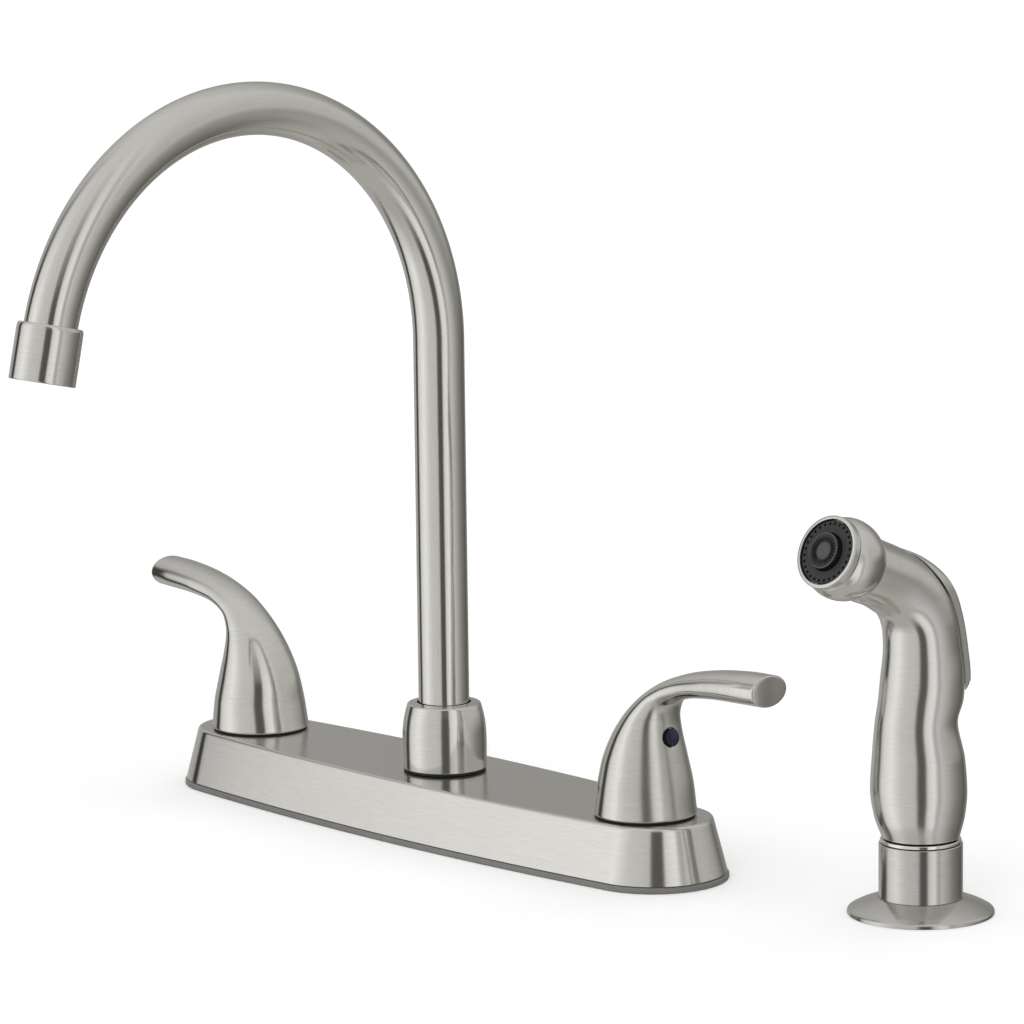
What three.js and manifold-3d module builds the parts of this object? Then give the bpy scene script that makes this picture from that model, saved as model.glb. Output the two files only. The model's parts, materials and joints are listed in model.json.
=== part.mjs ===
// Two-handle gooseneck kitchen faucet on a deck plate, with a side spray in its own holder.
// Millimetres, +Z up. Origin: centre of the face that rests on the sink deck, below the spout.
// -Y is the front (the user's side), -X the hot side, +X the cold side and the spray.
import * as THREE from 'three'
import { mergeVertices } from 'three/addons/utils/BufferGeometryUtils.js'
import Module from 'manifold-3d'

// ---------------------------------------------------------------- driving dimensions
const HANDLE_X = 101.6          // half of the 8 inch (203.2 mm) handle spacing
const GASKET_T = 3.0            // rubber base gasket
const PLATE_TOP = 21.1          // deck plate's top face above the deck
const PLATE_HALF_LENGTH = 125.5
const PLATE_HALF_WIDTH = 24.9
const PLATE_END_R = 19.5        // radius of the rounded ends, tangent to the bowed sides
const DECK_T = 15.0             // sink ledge clamped between gasket and washers
const SHANK_R = 10.4            // G1/2 supply shank
const SHANK_BORE_R = 5.9
const SHANK_LENGTH = 52.0

const TUBE_R = 8.9              // spout tube, 17.8 mm outside diameter
const TUBE_WALL = 1.0
const ARC_R = 86.1              // gooseneck bend radius
const ARC_Z = 173.0             // height where the bend starts
const ARC_SWEEP = 167.0         // degrees of bend
const AERATOR_R = 11.1
const AERATOR_L = 16.6

const HANDLE_LIFT = 1.0         // skirt above the plate, filled by the glide ring
const HOT_REST_YAW = 5.5        // closed levers as photographed, degrees towards the back
const COLD_REST_YAW = 0.5
const SPOUT_REST_YAW = 0.8      // spout as photographed, degrees towards the cold side
const PLUG_Z = 28.2             // index plug above the plate's top

const SPRAY_X = 203.0           // side spray hole
const SPRAY_Y = 27.3
const FLANGE_R = 24.1
const SLEEVE_R = 13.75
const SLEEVE_TOP = 23.6
const FACE_F = 44.0             // spray face centre: forward of the holder axis, and height
const FACE_Z = 125.3
const FACE_TILT = 23.3          // degrees above horizontal
const NECK_S = 17.6             // neck end, measured back from the spray face
const PIVOT_F = 4.4             // trigger pivot, forward of the holder axis, and height
const PIVOT_Z = 110.9
const TRIGGER_TRAVEL = 4.5      // degrees
const TRIGGER_HALF_WIDTH = 9.3
const PLUNGER_Z = 92.0

const RAD = Math.PI / 180

// ---------------------------------------------------------------- materials
const material = (color, roughness, metalness) =>
  new THREE.MeshStandardMaterial({ color, roughness, metalness })
const nickel = material(0xbdb9b0, 0.32, 1)
const nickelBright = material(0xd6d3cb, 0.2, 1)
const brass = material(0xb8954d, 0.4, 1)
const steel = material(0xb4b6b8, 0.35, 1)
const rubberGrey = material(0x77756f, 0.85, 0)
const rubberBlack = material(0x1b1b1c, 0.8, 0)
const plasticBlack = material(0x232325, 0.55, 0)
const plasticWhite = material(0xe6e6e1, 0.5, 0)
const ceramic = material(0xf1efe9, 0.25, 0)
const plugBlue = material(0x1d2340, 0.25, 0)
const plugRed = material(0x7d1418, 0.25, 0)

// ---------------------------------------------------------------- geometry helpers
const wasm = await Module()
wasm.setup()

// Merge shared corners, drop empty triangles and turn the faces outward.
function closed (geometry) {
  const bare = geometry.clone()
  bare.deleteAttribute('normal')
  bare.deleteAttribute('uv')
  const merged = mergeVertices(bare, 1e-4)
  const p = merged.attributes.position
  const index = merged.index.array
  const a = new THREE.Vector3(); const b = new THREE.Vector3(); const c = new THREE.Vector3()
  let kept = []
  let volume = 0
  for (let i = 0; i < index.length; i += 3) {
    const [u, v, w] = [index[i], index[i + 1], index[i + 2]]
    if (u === v || v === w || w === u) continue
    kept.push(u, v, w)
    volume += a.fromBufferAttribute(p, u).dot(b.fromBufferAttribute(p, v).cross(c.fromBufferAttribute(p, w)))
  }
  if (volume < 0) kept = kept.flatMap((_, i) => i % 3 ? [] : [kept[i], kept[i + 2], kept[i + 1]])
  merged.setIndex(kept)
  merged.computeVertexNormals()
  return merged
}

function solid (geometry) {
  const g = closed(geometry)
  return new wasm.Manifold(new wasm.Mesh({
    numProp: 3,
    vertProperties: new Float32Array(g.attributes.position.array),
    triVerts: new Uint32Array(g.index.array)
  }))
}

function geometryOf (manifold) {
  const mesh = manifold.getMesh()
  const g = new THREE.BufferGeometry()
  g.setAttribute('position', new THREE.BufferAttribute(new Float32Array(mesh.vertProperties), 3))
  g.setIndex(Array.from(mesh.triVerts))
  g.computeVertexNormals()
  return g
}

const join = (first, ...rest) => geometryOf(rest.reduce((s, g) => s.add(solid(g)), solid(first)))
const cut = (body, ...tools) => geometryOf(tools.reduce((s, g) => s.subtract(solid(g)), solid(body)))
const common = (first, ...rest) => geometryOf(rest.reduce((s, g) => s.intersect(solid(g)), solid(first)))

// Turned piece about +Z; the profile is a closed loop of [radius, height], or starts and ends at radius 0.
function turned (profile, segments = 20, z = 0) {
  const loop = profile[0][0] === 0 ? profile : [...profile, profile[0]]
  return closed(new THREE.LatheGeometry(loop.map(([r, h]) => new THREE.Vector2(r, h + z)), segments)
    .rotateX(Math.PI / 2))
}
const rod = (r, z0, z1, segments = 16) => turned([[0, z0], [r, z0], [r, z1], [0, z1]], segments)
const ring = (rIn, rOut, z0, z1, segments = 20) =>
  turned([[rIn, z0], [rOut, z0], [rOut, z1], [rIn, z1]], segments)
const oRing = (r, section, z, segments = 14) =>
  turned(Array.from({ length: 6 }, (_, i) => [
    r + section * Math.cos(i * Math.PI / 3), z + section * Math.sin(i * Math.PI / 3)]), segments)
const box = (w, d, h, x = 0, y = 0, z = 0) => closed(new THREE.BoxGeometry(w, d, h).translate(x, y, z))

// Six-sided nut with a round bore.
const hexNut = (acrossFlats, bore, z0, z1) => cut(
  closed(new THREE.CylinderGeometry(acrossFlats / Math.sqrt(3), acrossFlats / Math.sqrt(3), z1 - z0, 6)
    .rotateX(Math.PI / 2).translate(0, 0, (z0 + z1) / 2)),
  rod(bore, z0 - 1, z1 + 1, 20))

// Skin over rings of points with equal counts, closed by a fan at each end.
function loft (rings) {
  const n = rings[0].length
  const points = rings.flat()
  const index = []
  for (let i = 0; i + 1 < rings.length; i++) {
    for (let j = 0; j < n; j++) {
      const [a, b, c, d] = [i * n + j, i * n + (j + 1) % n, (i + 1) * n + j, (i + 1) * n + (j + 1) % n]
      index.push(a, b, d, a, d, c)
    }
  }
  for (const [start, side] of [[0, -1], [(rings.length - 1) * n, 1]]) {
    const centre = points.slice(start, start + n)
      .reduce((s, p) => s.add(p), new THREE.Vector3()).divideScalar(n)
    const k = points.push(centre) - 1
    for (let j = 0; j < n; j++) {
      const [a, b] = [start + j, start + (j + 1) % n]
      index.push(...(side > 0 ? [a, b, k] : [b, a, k]))
    }
  }
  const g = new THREE.BufferGeometry().setFromPoints(points)
  g.setIndex(index)
  return closed(g)
}

// Elliptical sections through smooth back and front curves that lie in the XZ plane.
// Each station is [backX, backZ, frontX, frontZ, halfWidth]; grow moves the skin outward.
function curvedHorn (stations, count, segments, grow = 0) {
  const curve = (i, j) => new THREE.CatmullRomCurve3(
    stations.map(s => new THREE.Vector3(s[i], s[j], 0)), false, 'centripetal')
  const back = curve(0, 1)
  const front = curve(2, 3)
  const width = curve(4, 4)
  return Array.from({ length: count + 1 }, (_, i) => {
    const b = back.getPoint(i / count)
    const f = front.getPoint(i / count)
    const outward = b.clone().sub(f).setLength(grow)
    b.add(outward)
    f.sub(outward)
    const w = width.getPoint(i / count).x + grow
    return Array.from({ length: segments }, (_, j) => {
      const a = 2 * Math.PI * j / segments
      const m = b.clone().lerp(f, (1 - Math.cos(a)) / 2)
      return new THREE.Vector3(m.x, w * Math.sin(a), m.y)
    })
  })
}

// ---------------------------------------------------------------- assembly tree
const faucet = new THREE.Group()
faucet.name = 'side_spray_faucet'

function add (name, geometry, look, parent = faucet) {
  const mesh = new THREE.Mesh(geometry, look)
  mesh.name = name
  parent.add(mesh)
  return mesh
}

function group (x, y, z, turnDegrees = 0, parent = faucet) {
  const g = new THREE.Group()
  g.position.set(x, y, z)
  g.rotation.z = turnDegrees * RAD
  parent.add(g)
  return g
}

// ---------------------------------------------------------------- deck plate, gasket and casting
// Plan of the plate: two long bowed sides, tangent to two rounded ends.
function plateOutline (offset, z) {
  const endX = PLATE_HALF_LENGTH - PLATE_END_R
  const bow = PLATE_HALF_WIDTH - PLATE_END_R
  const bowR = (endX * endX / bow + PLATE_END_R + PLATE_HALF_WIDTH) / 2
  const half = Math.atan2(endX, bowR - PLATE_HALF_WIDTH)
  const arcs = [
    [0, bowR - PLATE_HALF_WIDTH, bowR, -Math.PI / 2 - half, -Math.PI / 2 + half, 5],
    [endX, 0, PLATE_END_R, -Math.PI / 2 + half, Math.PI / 2 - half, 10],
    [0, PLATE_HALF_WIDTH - bowR, bowR, Math.PI / 2 - half, Math.PI / 2 + half, 5],
    [-endX, 0, PLATE_END_R, Math.PI / 2 + half, 1.5 * Math.PI - half, 10]
  ]
  return arcs.flatMap(([cx, cy, r, from, to, n]) => Array.from({ length: n }, (_, i) => {
    const a = from + (to - from) * i / n
    return new THREE.Vector3(cx + (r + offset) * Math.cos(a), cy + (r + offset) * Math.sin(a), z)
  }))
}

const plateSkin = loft([[4.9, 3.3], [0.7, 19.6], [0.2, 20.7], [-0.9, PLATE_TOP]]
  .map(([offset, z]) => plateOutline(offset, z)))
const plateHollow = loft([[2.8, 2.0], [-1.4, 18.6]].map(([offset, z]) => plateOutline(offset, z)))
const throughPlate = (r, x) => rod(r, 15, 25, 20).translate(x, 0, 0)
add('deck_plate', cut(plateSkin, plateHollow, throughPlate(11.9, 0),
  throughPlate(10.8, -HANDLE_X), throughPlate(10.8, HANDLE_X)), nickel)

const gasketPad = loft([[5.7, 0], [5.7, 2.4], [5.3, GASKET_T]].map(([offset, z]) => plateOutline(offset, z)))
add('deck_gasket', cut(gasketPad,
  ...[[-HANDLE_X, 11.4], [HANDLE_X, 11.4], [0, 11.4]].map(([x, r]) => rod(r, -1, 5, 20).translate(x, 0, 0))),
rubberGrey)

// Brass casting: a cross tube between two valve cups and the centre hub.
const HUB_TOP = 33.6
const crossTube = rod(6.4, -HANDLE_X, HANDLE_X, 10).rotateY(Math.PI / 2).translate(0, 0, 11.6)
const valveCup = x => turned([[0, 3.3], [14.5, 3.3], [14.5, 6], [10.4, 6], [10.4, 27.1], [0, 27.1]], 16)
  .translate(x, 0, 0)
const hub = turned([[0, 3.3], [13.5, 3.3], [13.5, 6], [11.5, 6], [11.5, HUB_TOP], [0, HUB_TOP]], 16)
const cupBore = x => turned([[0, 2], [8.2, 2], [8.2, 6.6], [6.2, 6.6], [6.2, 8.6], [8.2, 8.6],
  [8.2, 28], [0, 28]], 16).translate(x, 0, 0)
const hubBore = turned([[0, 2], [5.4, 2], [5.4, 8.8], [8.5, 8.8], [8.5, 35], [0, 35]], 16)
const waterWay = rod(3.4, -HANDLE_X, HANDLE_X, 8).rotateY(Math.PI / 2).translate(0, 0, 11.6)
add('valve_casting', cut(join(crossTube, valveCup(-HANDLE_X), valveCup(HANDLE_X), hub),
  cupBore(-HANDLE_X), cupBore(HANDLE_X), hubBore, waterWay), brass)

// ---------------------------------------------------------------- one valve, handle and shank per side
// The lever handle: a bell-shaped skirt that leans over into a flat oval lever along +X.
// Heights are counted from the skirt's lower edge.
const leverStations = [
  [-17.6, 0, 17.6, 0, 17.6],
  [-15.8, 9, 16.2, 10.4, 16.6],
  [-13.8, 18.6, 14.1, 20.6, 14.5],
  [-9.2, 28.2, 12.5, 28.4, 12.1],
  [-2.0, 37.2, 12.2, 33.8, 9.8],
  [8.3, 44.9, 14.3, 38.5, 8.2],
  [20.7, 50.0, 21.0, 41.5, 8.0],
  [34.0, 52.9, 33.4, 43.3, 8.6],
  [48.1, 54.4, 47.0, 43.8, 8.8],
  [58.4, 54.7, 57.9, 43.9, 8.2]
]

function leverHandle () {
  const rings = curvedHorn(leverStations, 15, 16)
  const last = rings[rings.length - 1]
  const centre = last.reduce((s, p) => s.add(p), new THREE.Vector3()).divideScalar(last.length)
  const shrink = (k, dx) => last.map(p => p.clone().sub(centre).multiplyScalar(k).add(centre)
    .add(new THREE.Vector3(dx, 0, 0)))
  const horn = loft([...rings, shrink(0.93, 0.75), shrink(0.5, 1.25)])
  const skirtHollow = turned([[0, -1], [15.3, -1], [15.0, 1], [13.75, 9.4], [10, 11.2], [7, 12.4], [0, 12.4]], 20)
  const stemBore = rod(4.2, 10, 31.3, 16)
  const screwHole = rod(2.1, 2, 30, 10).rotateY(Math.PI / 2).translate(0, 0, PLUG_Z - HANDLE_LIFT)
  const plugSeat = rod(3.55, 11.0, 30, 16).rotateY(Math.PI / 2).translate(0, 0, PLUG_Z - HANDLE_LIFT)
  return cut(horn, skirtHollow, stemBore, screwHole, plugSeat)
}
const leverShape = leverHandle()

// Stem with two flats where the set screw bears.
const stemShape = cut(
  turned([[0, -2.4], [6.3, -2.4], [6.3, 0.6], [3.9, 0.6], [3.9, 29.6], [3.4, 30.2], [0, 30.2]], 16),
  box(3, 10, 9, 4.7, 0, 26.5), box(3, 10, 9, -4.7, 0, 26.5))

const cartridgeShape = cut(
  turned([[6.75, -12.1], [7.95, -12.1], [7.95, 6.3], [9.7, 6.3], [9.7, 8.2], [6.2, 8.2], [6.2, 11.4],
    [4.2, 11.4], [4.2, 1.2], [6.75, 1.2]], 16),
  box(24, 5, 4.2, 0, 0, -4.4))

const bonnet = cut(closed(new THREE.CylinderGeometry(13.28, 13.28, 9, 6).rotateX(Math.PI / 2).translate(0, 0, 4.9)),
  turned([[0, 0], [10.7, 0], [10.7, 8.5], [6.5, 8.5], [6.5, 10], [0, 10]]))

const wedgePort = (from, sweep) => {
  const s = new THREE.Shape()
  s.absarc(0, 0, 5, from, from + sweep, false)
  s.absarc(0, 0, 1.6, from + sweep, from, true)
  return closed(new THREE.ExtrudeGeometry(s, { depth: 8, bevelEnabled: false, curveSegments: 3 })
    .translate(0, 0, -13))
}
const fixedDisc = cut(rod(6.4, -7.5, -5.2, 16), wedgePort(0.5, 1.6), wedgePort(0.5 + Math.PI, 1.6))
const movingDisc = cut(rod(6.4, -4.9, -2.7, 16), box(10.6, 3.4, 2.9, 0, 0, -4.4))

for (const [side, x, turn, plugLook] of [
  ['hot', -HANDLE_X, 180 - HOT_REST_YAW, plugRed],
  ['cold', HANDLE_X, COLD_REST_YAW, plugBlue]
]) {
  const valve = group(x, 0, PLATE_TOP)
  add(`cartridge_seal_${side}`, ring(3.4, 6.4, -12.2, -7.8, 18), rubberBlack, valve)
  add(`fixed_disc_${side}`, fixedDisc.clone(), ceramic, valve)
  add(`cartridge_${side}`, cartridgeShape.clone(), brass, valve)
  add(`bonnet_nut_${side}`, bonnet.clone(), brass, valve)
  add(`glide_ring_${side}`, ring(15.4, 17.0, 0.15, 0.75, 24), rubberBlack, valve)

  const turning = group(x, 0, PLATE_TOP, turn)
  add(`moving_disc_${side}`, movingDisc.clone(), ceramic, turning)
  add(`stem_${side}`, stemShape.clone(), brass, turning)
  add(`handle_${side}`, leverShape.clone().translate(0, 0, HANDLE_LIFT), nickel, turning)
  const screw = cut(rod(1.85, 3.5, 10.2, 12), rod(0.95, 8.2, 11, 6))
  add(`set_screw_${side}`, screw.rotateY(Math.PI / 2).translate(0, 0, PLUG_Z), steel, turning)
  const plug = turned([[0, 11.3], [3.3, 11.3], [3.3, 12.6], [2.9, 13.3], [0, 13.6]], 16)
  add(`index_plug_${side}`, plug.rotateY(Math.PI / 2).translate(0, 0, PLUG_Z), plugLook, turning)

  const below = group(x, 0, 0)
  add(`supply_shank_${side}`, turned([[SHANK_BORE_R, -SHANK_LENGTH], [SHANK_R - 0.8, -SHANK_LENGTH],
    [SHANK_R, -SHANK_LENGTH + 1.2], [SHANK_R, GASKET_T], [7.9, GASKET_T], [7.9, 6.3], [SHANK_BORE_R, 6.3]]),
  brass, below)
  add(`shank_washer_${side}`, ring(SHANK_R + 0.4, 21.0, -DECK_T - 1.8, -DECK_T), steel, below)
  add(`shank_nut_${side}`, hexNut(33, SHANK_R + 0.3, -DECK_T - 11.5, -DECK_T - 2.1), brass, below)
}

// ---------------------------------------------------------------- spout
class Gooseneck extends THREE.Curve {
  getPoint (t, target = new THREE.Vector3()) {
    const leg = ARC_Z - 36.8
    const arc = ARC_R * ARC_SWEEP * RAD
    const s = t * (leg + arc)
    if (s < leg) return target.set(0, 0, 36.8 + s)
    const a = (s - leg) / ARC_R
    return target.set(0, -ARC_R * (1 - Math.cos(a)), ARC_Z + ARC_R * Math.sin(a))
  }
}
const wall = new THREE.Shape().absarc(0, 0, TUBE_R, 0, 2 * Math.PI, false)
wall.holes.push(new THREE.Path().absarc(0, 0, TUBE_R - TUBE_WALL, 0, 2 * Math.PI, true))
const spout = group(0, 0, 0, SPOUT_REST_YAW)
add('spout_tube', closed(new THREE.ExtrudeGeometry(wall, {
  steps: 30, curveSegments: 7, extrudePath: new Gooseneck()
})), nickel, spout)

add('spout_hub', turned([[5.0, 14.4], [8.1, 14.4], [8.1, 17], [6.7, 17], [6.7, 19.2], [8.1, 19.2], [8.1, 24],
  [6.7, 24], [6.7, 26.2], [8.1, 26.2], [8.1, 33.9], [11.2, 33.9], [11.2, 36.4], [7.6, 36.4], [7.6, 45],
  [5.0, 45]], 16), brass, spout)
add('spout_o_ring_lower', oRing(7.62, 0.68, 18.1), rubberBlack, spout)
add('spout_o_ring_upper', oRing(7.62, 0.68, 25.1), rubberBlack, spout)
add('spout_glide_ring', ring(11.8, 14.4, PLATE_TOP + 0.15, PLATE_TOP + 0.8, 24), rubberBlack)
add('spout_nut', turned([[11.85, 22.1], [14.8, 22.1], [14.85, 31], [14.6, 36.5], [14.1, 40.3], [13.4, 43.2],
  [12.6, 45.0], [11.8, 45.7], [9.25, 45.7], [9.25, 36.8], [11.85, 36.8]], 24), nickel)

// Aerator at the end of the gooseneck, built along +Z and turned to point along the tube.
const spoutEnd = group(0, -ARC_R * (1 - Math.cos(ARC_SWEEP * RAD)),
  ARC_Z + ARC_R * Math.sin(ARC_SWEEP * RAD), 0, spout)
spoutEnd.rotation.x = ARC_SWEEP * RAD
add('aerator_housing', turned([[9.15, -2.4], [10.4, -2.4], [11.0, -1.7], [11.1, 0], [AERATOR_R, AERATOR_L - 0.8],
  [10.6, AERATOR_L], [9.7, AERATOR_L], [9.7, 0.4], [9.15, 0.2]], 24), nickelBright, spoutEnd)
add('aerator_washer', ring(6.4, 9.4, 0.7, 2.4), rubberBlack, spoutEnd)
add('aerator_insert', turned([[0, 2.8], [9.3, 2.8], [9.3, 15.2], [8.3, 15.7], [7.9, 14.6], [0, 14.6]], 20),
  plasticWhite, spoutEnd)

// ---------------------------------------------------------------- diverter and spray outlet
add('diverter_plunger', turned([[0, 9.2], [6.4, 9.2], [6.4, 11.4], [4.4, 11.9], [2.3, 12.2], [2.3, 24], [0, 24.4]],
  16), plasticBlack)
add('spray_outlet', turned([[3.2, -32], [5.9, -32], [6.6, -31], [6.6, -10], [9.0, -10], [9.0, 3.0], [5.1, 3.0],
  [5.1, 8.4], [3.2, 8.4]], 16), brass)

// ---------------------------------------------------------------- spray holder
const holder = group(SPRAY_X, SPRAY_Y, 0)
add('holder_flange', turned([[13.05, 1.9], [23.0, 1.9], [23.2, 0.05], [FLANGE_R, 0.05], [FLANGE_R, 1.2],
  [23.6, 1.9], [18.5, 3.9], [14.3, 5.2], [13.05, 5.2]], 28), nickel, holder)
add('holder_gasket', ring(13.2, 22.6, 0, 1.6), rubberBlack, holder)
add('holder_sleeve', turned([[11.25, -34], [12.1, -34], [12.75, -33], [12.75, 5.5], [SLEEVE_R, 5.5],
  [SLEEVE_R, SLEEVE_TOP - 0.4], [SLEEVE_R - 0.4, SLEEVE_TOP], [11.25, SLEEVE_TOP]], 24), nickel, holder)
add('holder_bush', turned([[10.6, -4], [11.0, -4], [11.0, SLEEVE_TOP + 0.25], [13.3, SLEEVE_TOP + 0.25],
  [13.3, SLEEVE_TOP + 1.1], [13.0, SLEEVE_TOP + 1.4], [10.6, SLEEVE_TOP + 1.4]], 24), nickelBright, holder)
add('holder_nut', hexNut(36, 12.95, -DECK_T - 9, -DECK_T), plasticWhite, holder)

// ---------------------------------------------------------------- spray handset
// Built with "forward" along +X; the group turns forward to the front (-Y).
const handset = group(SPRAY_X, SPRAY_Y, 0, -90)
const tilt = FACE_TILT * RAD
const along = s => [FACE_F - s * Math.cos(tilt), FACE_Z - s * Math.sin(tilt)]
const onFaceAxis = g => g.clone().rotateY(Math.PI / 2 - tilt).translate(FACE_F, 0, FACE_Z)
const [neckF, neckZ] = along(NECK_S)
const NECK_R = 10.6
const handsetStations = [
  [-12.6, 25.3, 12.7, 25.3, 12.6],
  [-14.3, 32.2, 15.4, 32.0, 14.6],
  [-14.8, 41, 16.8, 41, 15.8],
  [-13.9, 52, 16.3, 52, 15.2],
  [-11.3, 64.2, 15.6, 63.8, 13.5],
  [-14.2, 70.8, 14.4, 70.8, 13.5],
  [-14.6, 77, 13.3, 77.8, 13.5],
  [-13.7, 87, 12.3, 88, 12.6],
  [-11.2, 98.5, 13.2, 95.4, 12.2],
  [-7.2, 109.1, 17.0, 100.6, 11.4],
  [2.3, 118.0, 23.0, 104.9, 10.9],
  [neckF - NECK_R * Math.sin(tilt), neckZ + NECK_R * Math.cos(tilt),
    neckF + NECK_R * Math.sin(tilt), neckZ - NECK_R * Math.cos(tilt), NECK_R]
]
const handsetSkin = (grow = 0) => loft(curvedHorn(handsetStations, 20, 16, grow))
const aboutPivot = (g, degrees) => g.clone().translate(-PIVOT_F, 0, -PIVOT_Z)
  .rotateY(degrees * RAD).translate(PIVOT_F, 0, PIVOT_Z)
const crossBar = (r, halfLength, segments = 16) =>
  rod(r, -halfLength, halfLength, segments).rotateX(Math.PI / 2).translate(PIVOT_F, 0, PIVOT_Z)

// Zone at the back of the handset where the trigger lies: a prism across the handset.
// The room below it is for the lip, which drops as the trigger swings in.
function backZone (halfWidth, margin, roomBelow) {
  const s = new THREE.Shape()
  const m = margin
  s.moveTo(-30, 73.5 - roomBelow)
  s.lineTo(-9 + m + roomBelow, 73.5 - roomBelow)
  s.lineTo(-6.5 + m, 88)
  s.lineTo(-4 + m, 99)
  s.lineTo(2, 107 - m)
  s.lineTo(12.5 + m, 112 - m)
  s.lineTo(13.5 + m, 140)
  s.lineTo(-30, 140)
  return closed(new THREE.ExtrudeGeometry(s, { depth: 2 * halfWidth, bevelEnabled: false })
    .rotateX(Math.PI / 2).translate(0, halfWidth, 0))
}

const pocket = cut(common(handsetSkin(4), backZone(TRIGGER_HALF_WIDTH + 0.35, 0.4, 1.8)),
  aboutPivot(handsetSkin(-0.2), -TRIGGER_TRAVEL - 0.6))
const connectorBore = rod(7.2, 20, 36, 20)
const waterBore = rod(4.0, 35, 97, 14).translate(2.4, 0, 0)
const neckBore = onFaceAxis(rod(3.4, -41.5, -12, 12))
const spigot = onFaceAxis(turned([[0, -NECK_S - 1], [5.0, -NECK_S - 1], [5.0, -NECK_S + 3.4], [0, -NECK_S + 3.4]], 16))
const plungerBore = turned([[0, -20], [4.2, -20], [4.2, -6.2], [2.6, -6.2], [2.6, 2.4], [0, 2.4]], 14)
  .rotateY(Math.PI / 2).translate(0, 0, PLUNGER_Z)
const earSlots = [-1, 1].map(k => rod(3.9, 5.9, TRIGGER_HALF_WIDTH + 0.35, 18).rotateX(k * Math.PI / 2)
  .translate(PIVOT_F, 0, PIVOT_Z))
add('handset_body', cut(join(handsetSkin(), spigot), pocket, connectorBore, waterBore, neckBore, plungerBore,
  ...earSlots, crossBar(1.33, 12)), nickel, handset)

// Trigger: a curved plate over the back, with two ears on the pin and a flared lower lip.
const triggerPlate = cut(common(handsetSkin(2.4), backZone(TRIGGER_HALF_WIDTH, 0, 0)), handsetSkin(0.4))
const ears = [-1, 1].map(k => rod(3.2, 6.2, TRIGGER_HALF_WIDTH, 18).rotateX(k * Math.PI / 2)
  .translate(PIVOT_F, 0, PIVOT_Z))
add('trigger', cut(join(triggerPlate, ...ears), crossBar(1.33, 12)), nickel, handset)
add('trigger_pin', crossBar(1.25, 9.1), steel, handset)
add('valve_plunger', turned([[0, -12.1], [1.9, -12.1], [2.3, -11.7], [2.3, -0.6], [0, -0.6]], 16)
  .rotateY(Math.PI / 2).translate(0, 0, PLUNGER_Z), steel, handset)

// Return spring around the plunger, one unbroken wire.
class Coil extends THREE.Curve {
  constructor (radius, from, to, turns) {
    super()
    Object.assign(this, { radius, from, to, turns })
  }

  getPoint (t, target = new THREE.Vector3()) {
    const a = 2 * Math.PI * this.turns * t
    return target.set(this.from + (this.to - this.from) * t, this.radius * Math.cos(a),
      this.radius * Math.sin(a))
  }
}
const wire = new THREE.Shape().absarc(0, 0, 0.4, 0, 2 * Math.PI, false)
const SPRING = { from: -11.3, to: -6.8, radius: 3.35, turns: 3.5 }
add('trigger_spring', closed(new THREE.ExtrudeGeometry(wire, {
  steps: 30,
  curveSegments: 3,
  extrudePath: new Coil(SPRING.radius, SPRING.from, SPRING.to, SPRING.turns)
})).translate(0, 0, PLUNGER_Z), steel, handset)

add('hose_connector', turned([[5.0, -3], [9.4, -3], [10.2, -2], [10.2, 24.8], [6.8, 24.8], [6.8, 35],
  [5.0, 35]], 20), brass, handset)

// Spray head: shell, bezel, slotted rubber ring and raised fluted centre.
const BEZEL_R = 12.1
add('head_shell', onFaceAxis(turned([[10.4, -3.1], [12.0, -3.1], [12.7, -4.4], [13.3, -7], [13.4, -9.5],
  [12.9, -12.5], [11.9, -15], [10.7, -NECK_S + 0.4], [5.3, -NECK_S + 0.4], [5.3, -NECK_S + 3.6],
  [10.4, -NECK_S + 3.6]], 24)), nickel, handset)
add('head_bezel', onFaceAxis(turned([[10.75, -2.8], [BEZEL_R, -2.8], [BEZEL_R, -0.6], [11.7, 0], [11.0, 0],
  [10.75, -0.4]], 24)), nickelBright, handset)
const slotCount = 28
const slots = Array.from({ length: slotCount }, (_, i) =>
  box(1.4, 0.8, 3, 9.3, 0, -0.6).rotateZ(2 * Math.PI * i / slotCount))
add('spray_ring', onFaceAxis(cut(ring(6.3, 10.4, -4.6, -0.6, 24), ...slots)), rubberBlack, handset)
add('spray_centre', onFaceAxis(turned([[0, -4.6], [6.0, -4.6], [6.0, 1.2], [5.5, 1.7], [3.8, 1.4], [0, 1.4]],
  20)), plasticBlack, handset)

export default faucet
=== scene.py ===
"""Two-handle gooseneck kitchen faucet with side spray: the looks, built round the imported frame.

Every visible piece is a surface worked out with numpy in millimetres, in the frame's own axes:
+Z up, -Y the user's side, +X the cold side and the spray, origin on the sink deck below the spout.
"""
import json
import logging
import math
from dataclasses import dataclass, field
from enum import Enum
from typing import Callable, Sequence

import bpy
import numpy as np
from mathutils import Matrix, Vector

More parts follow.
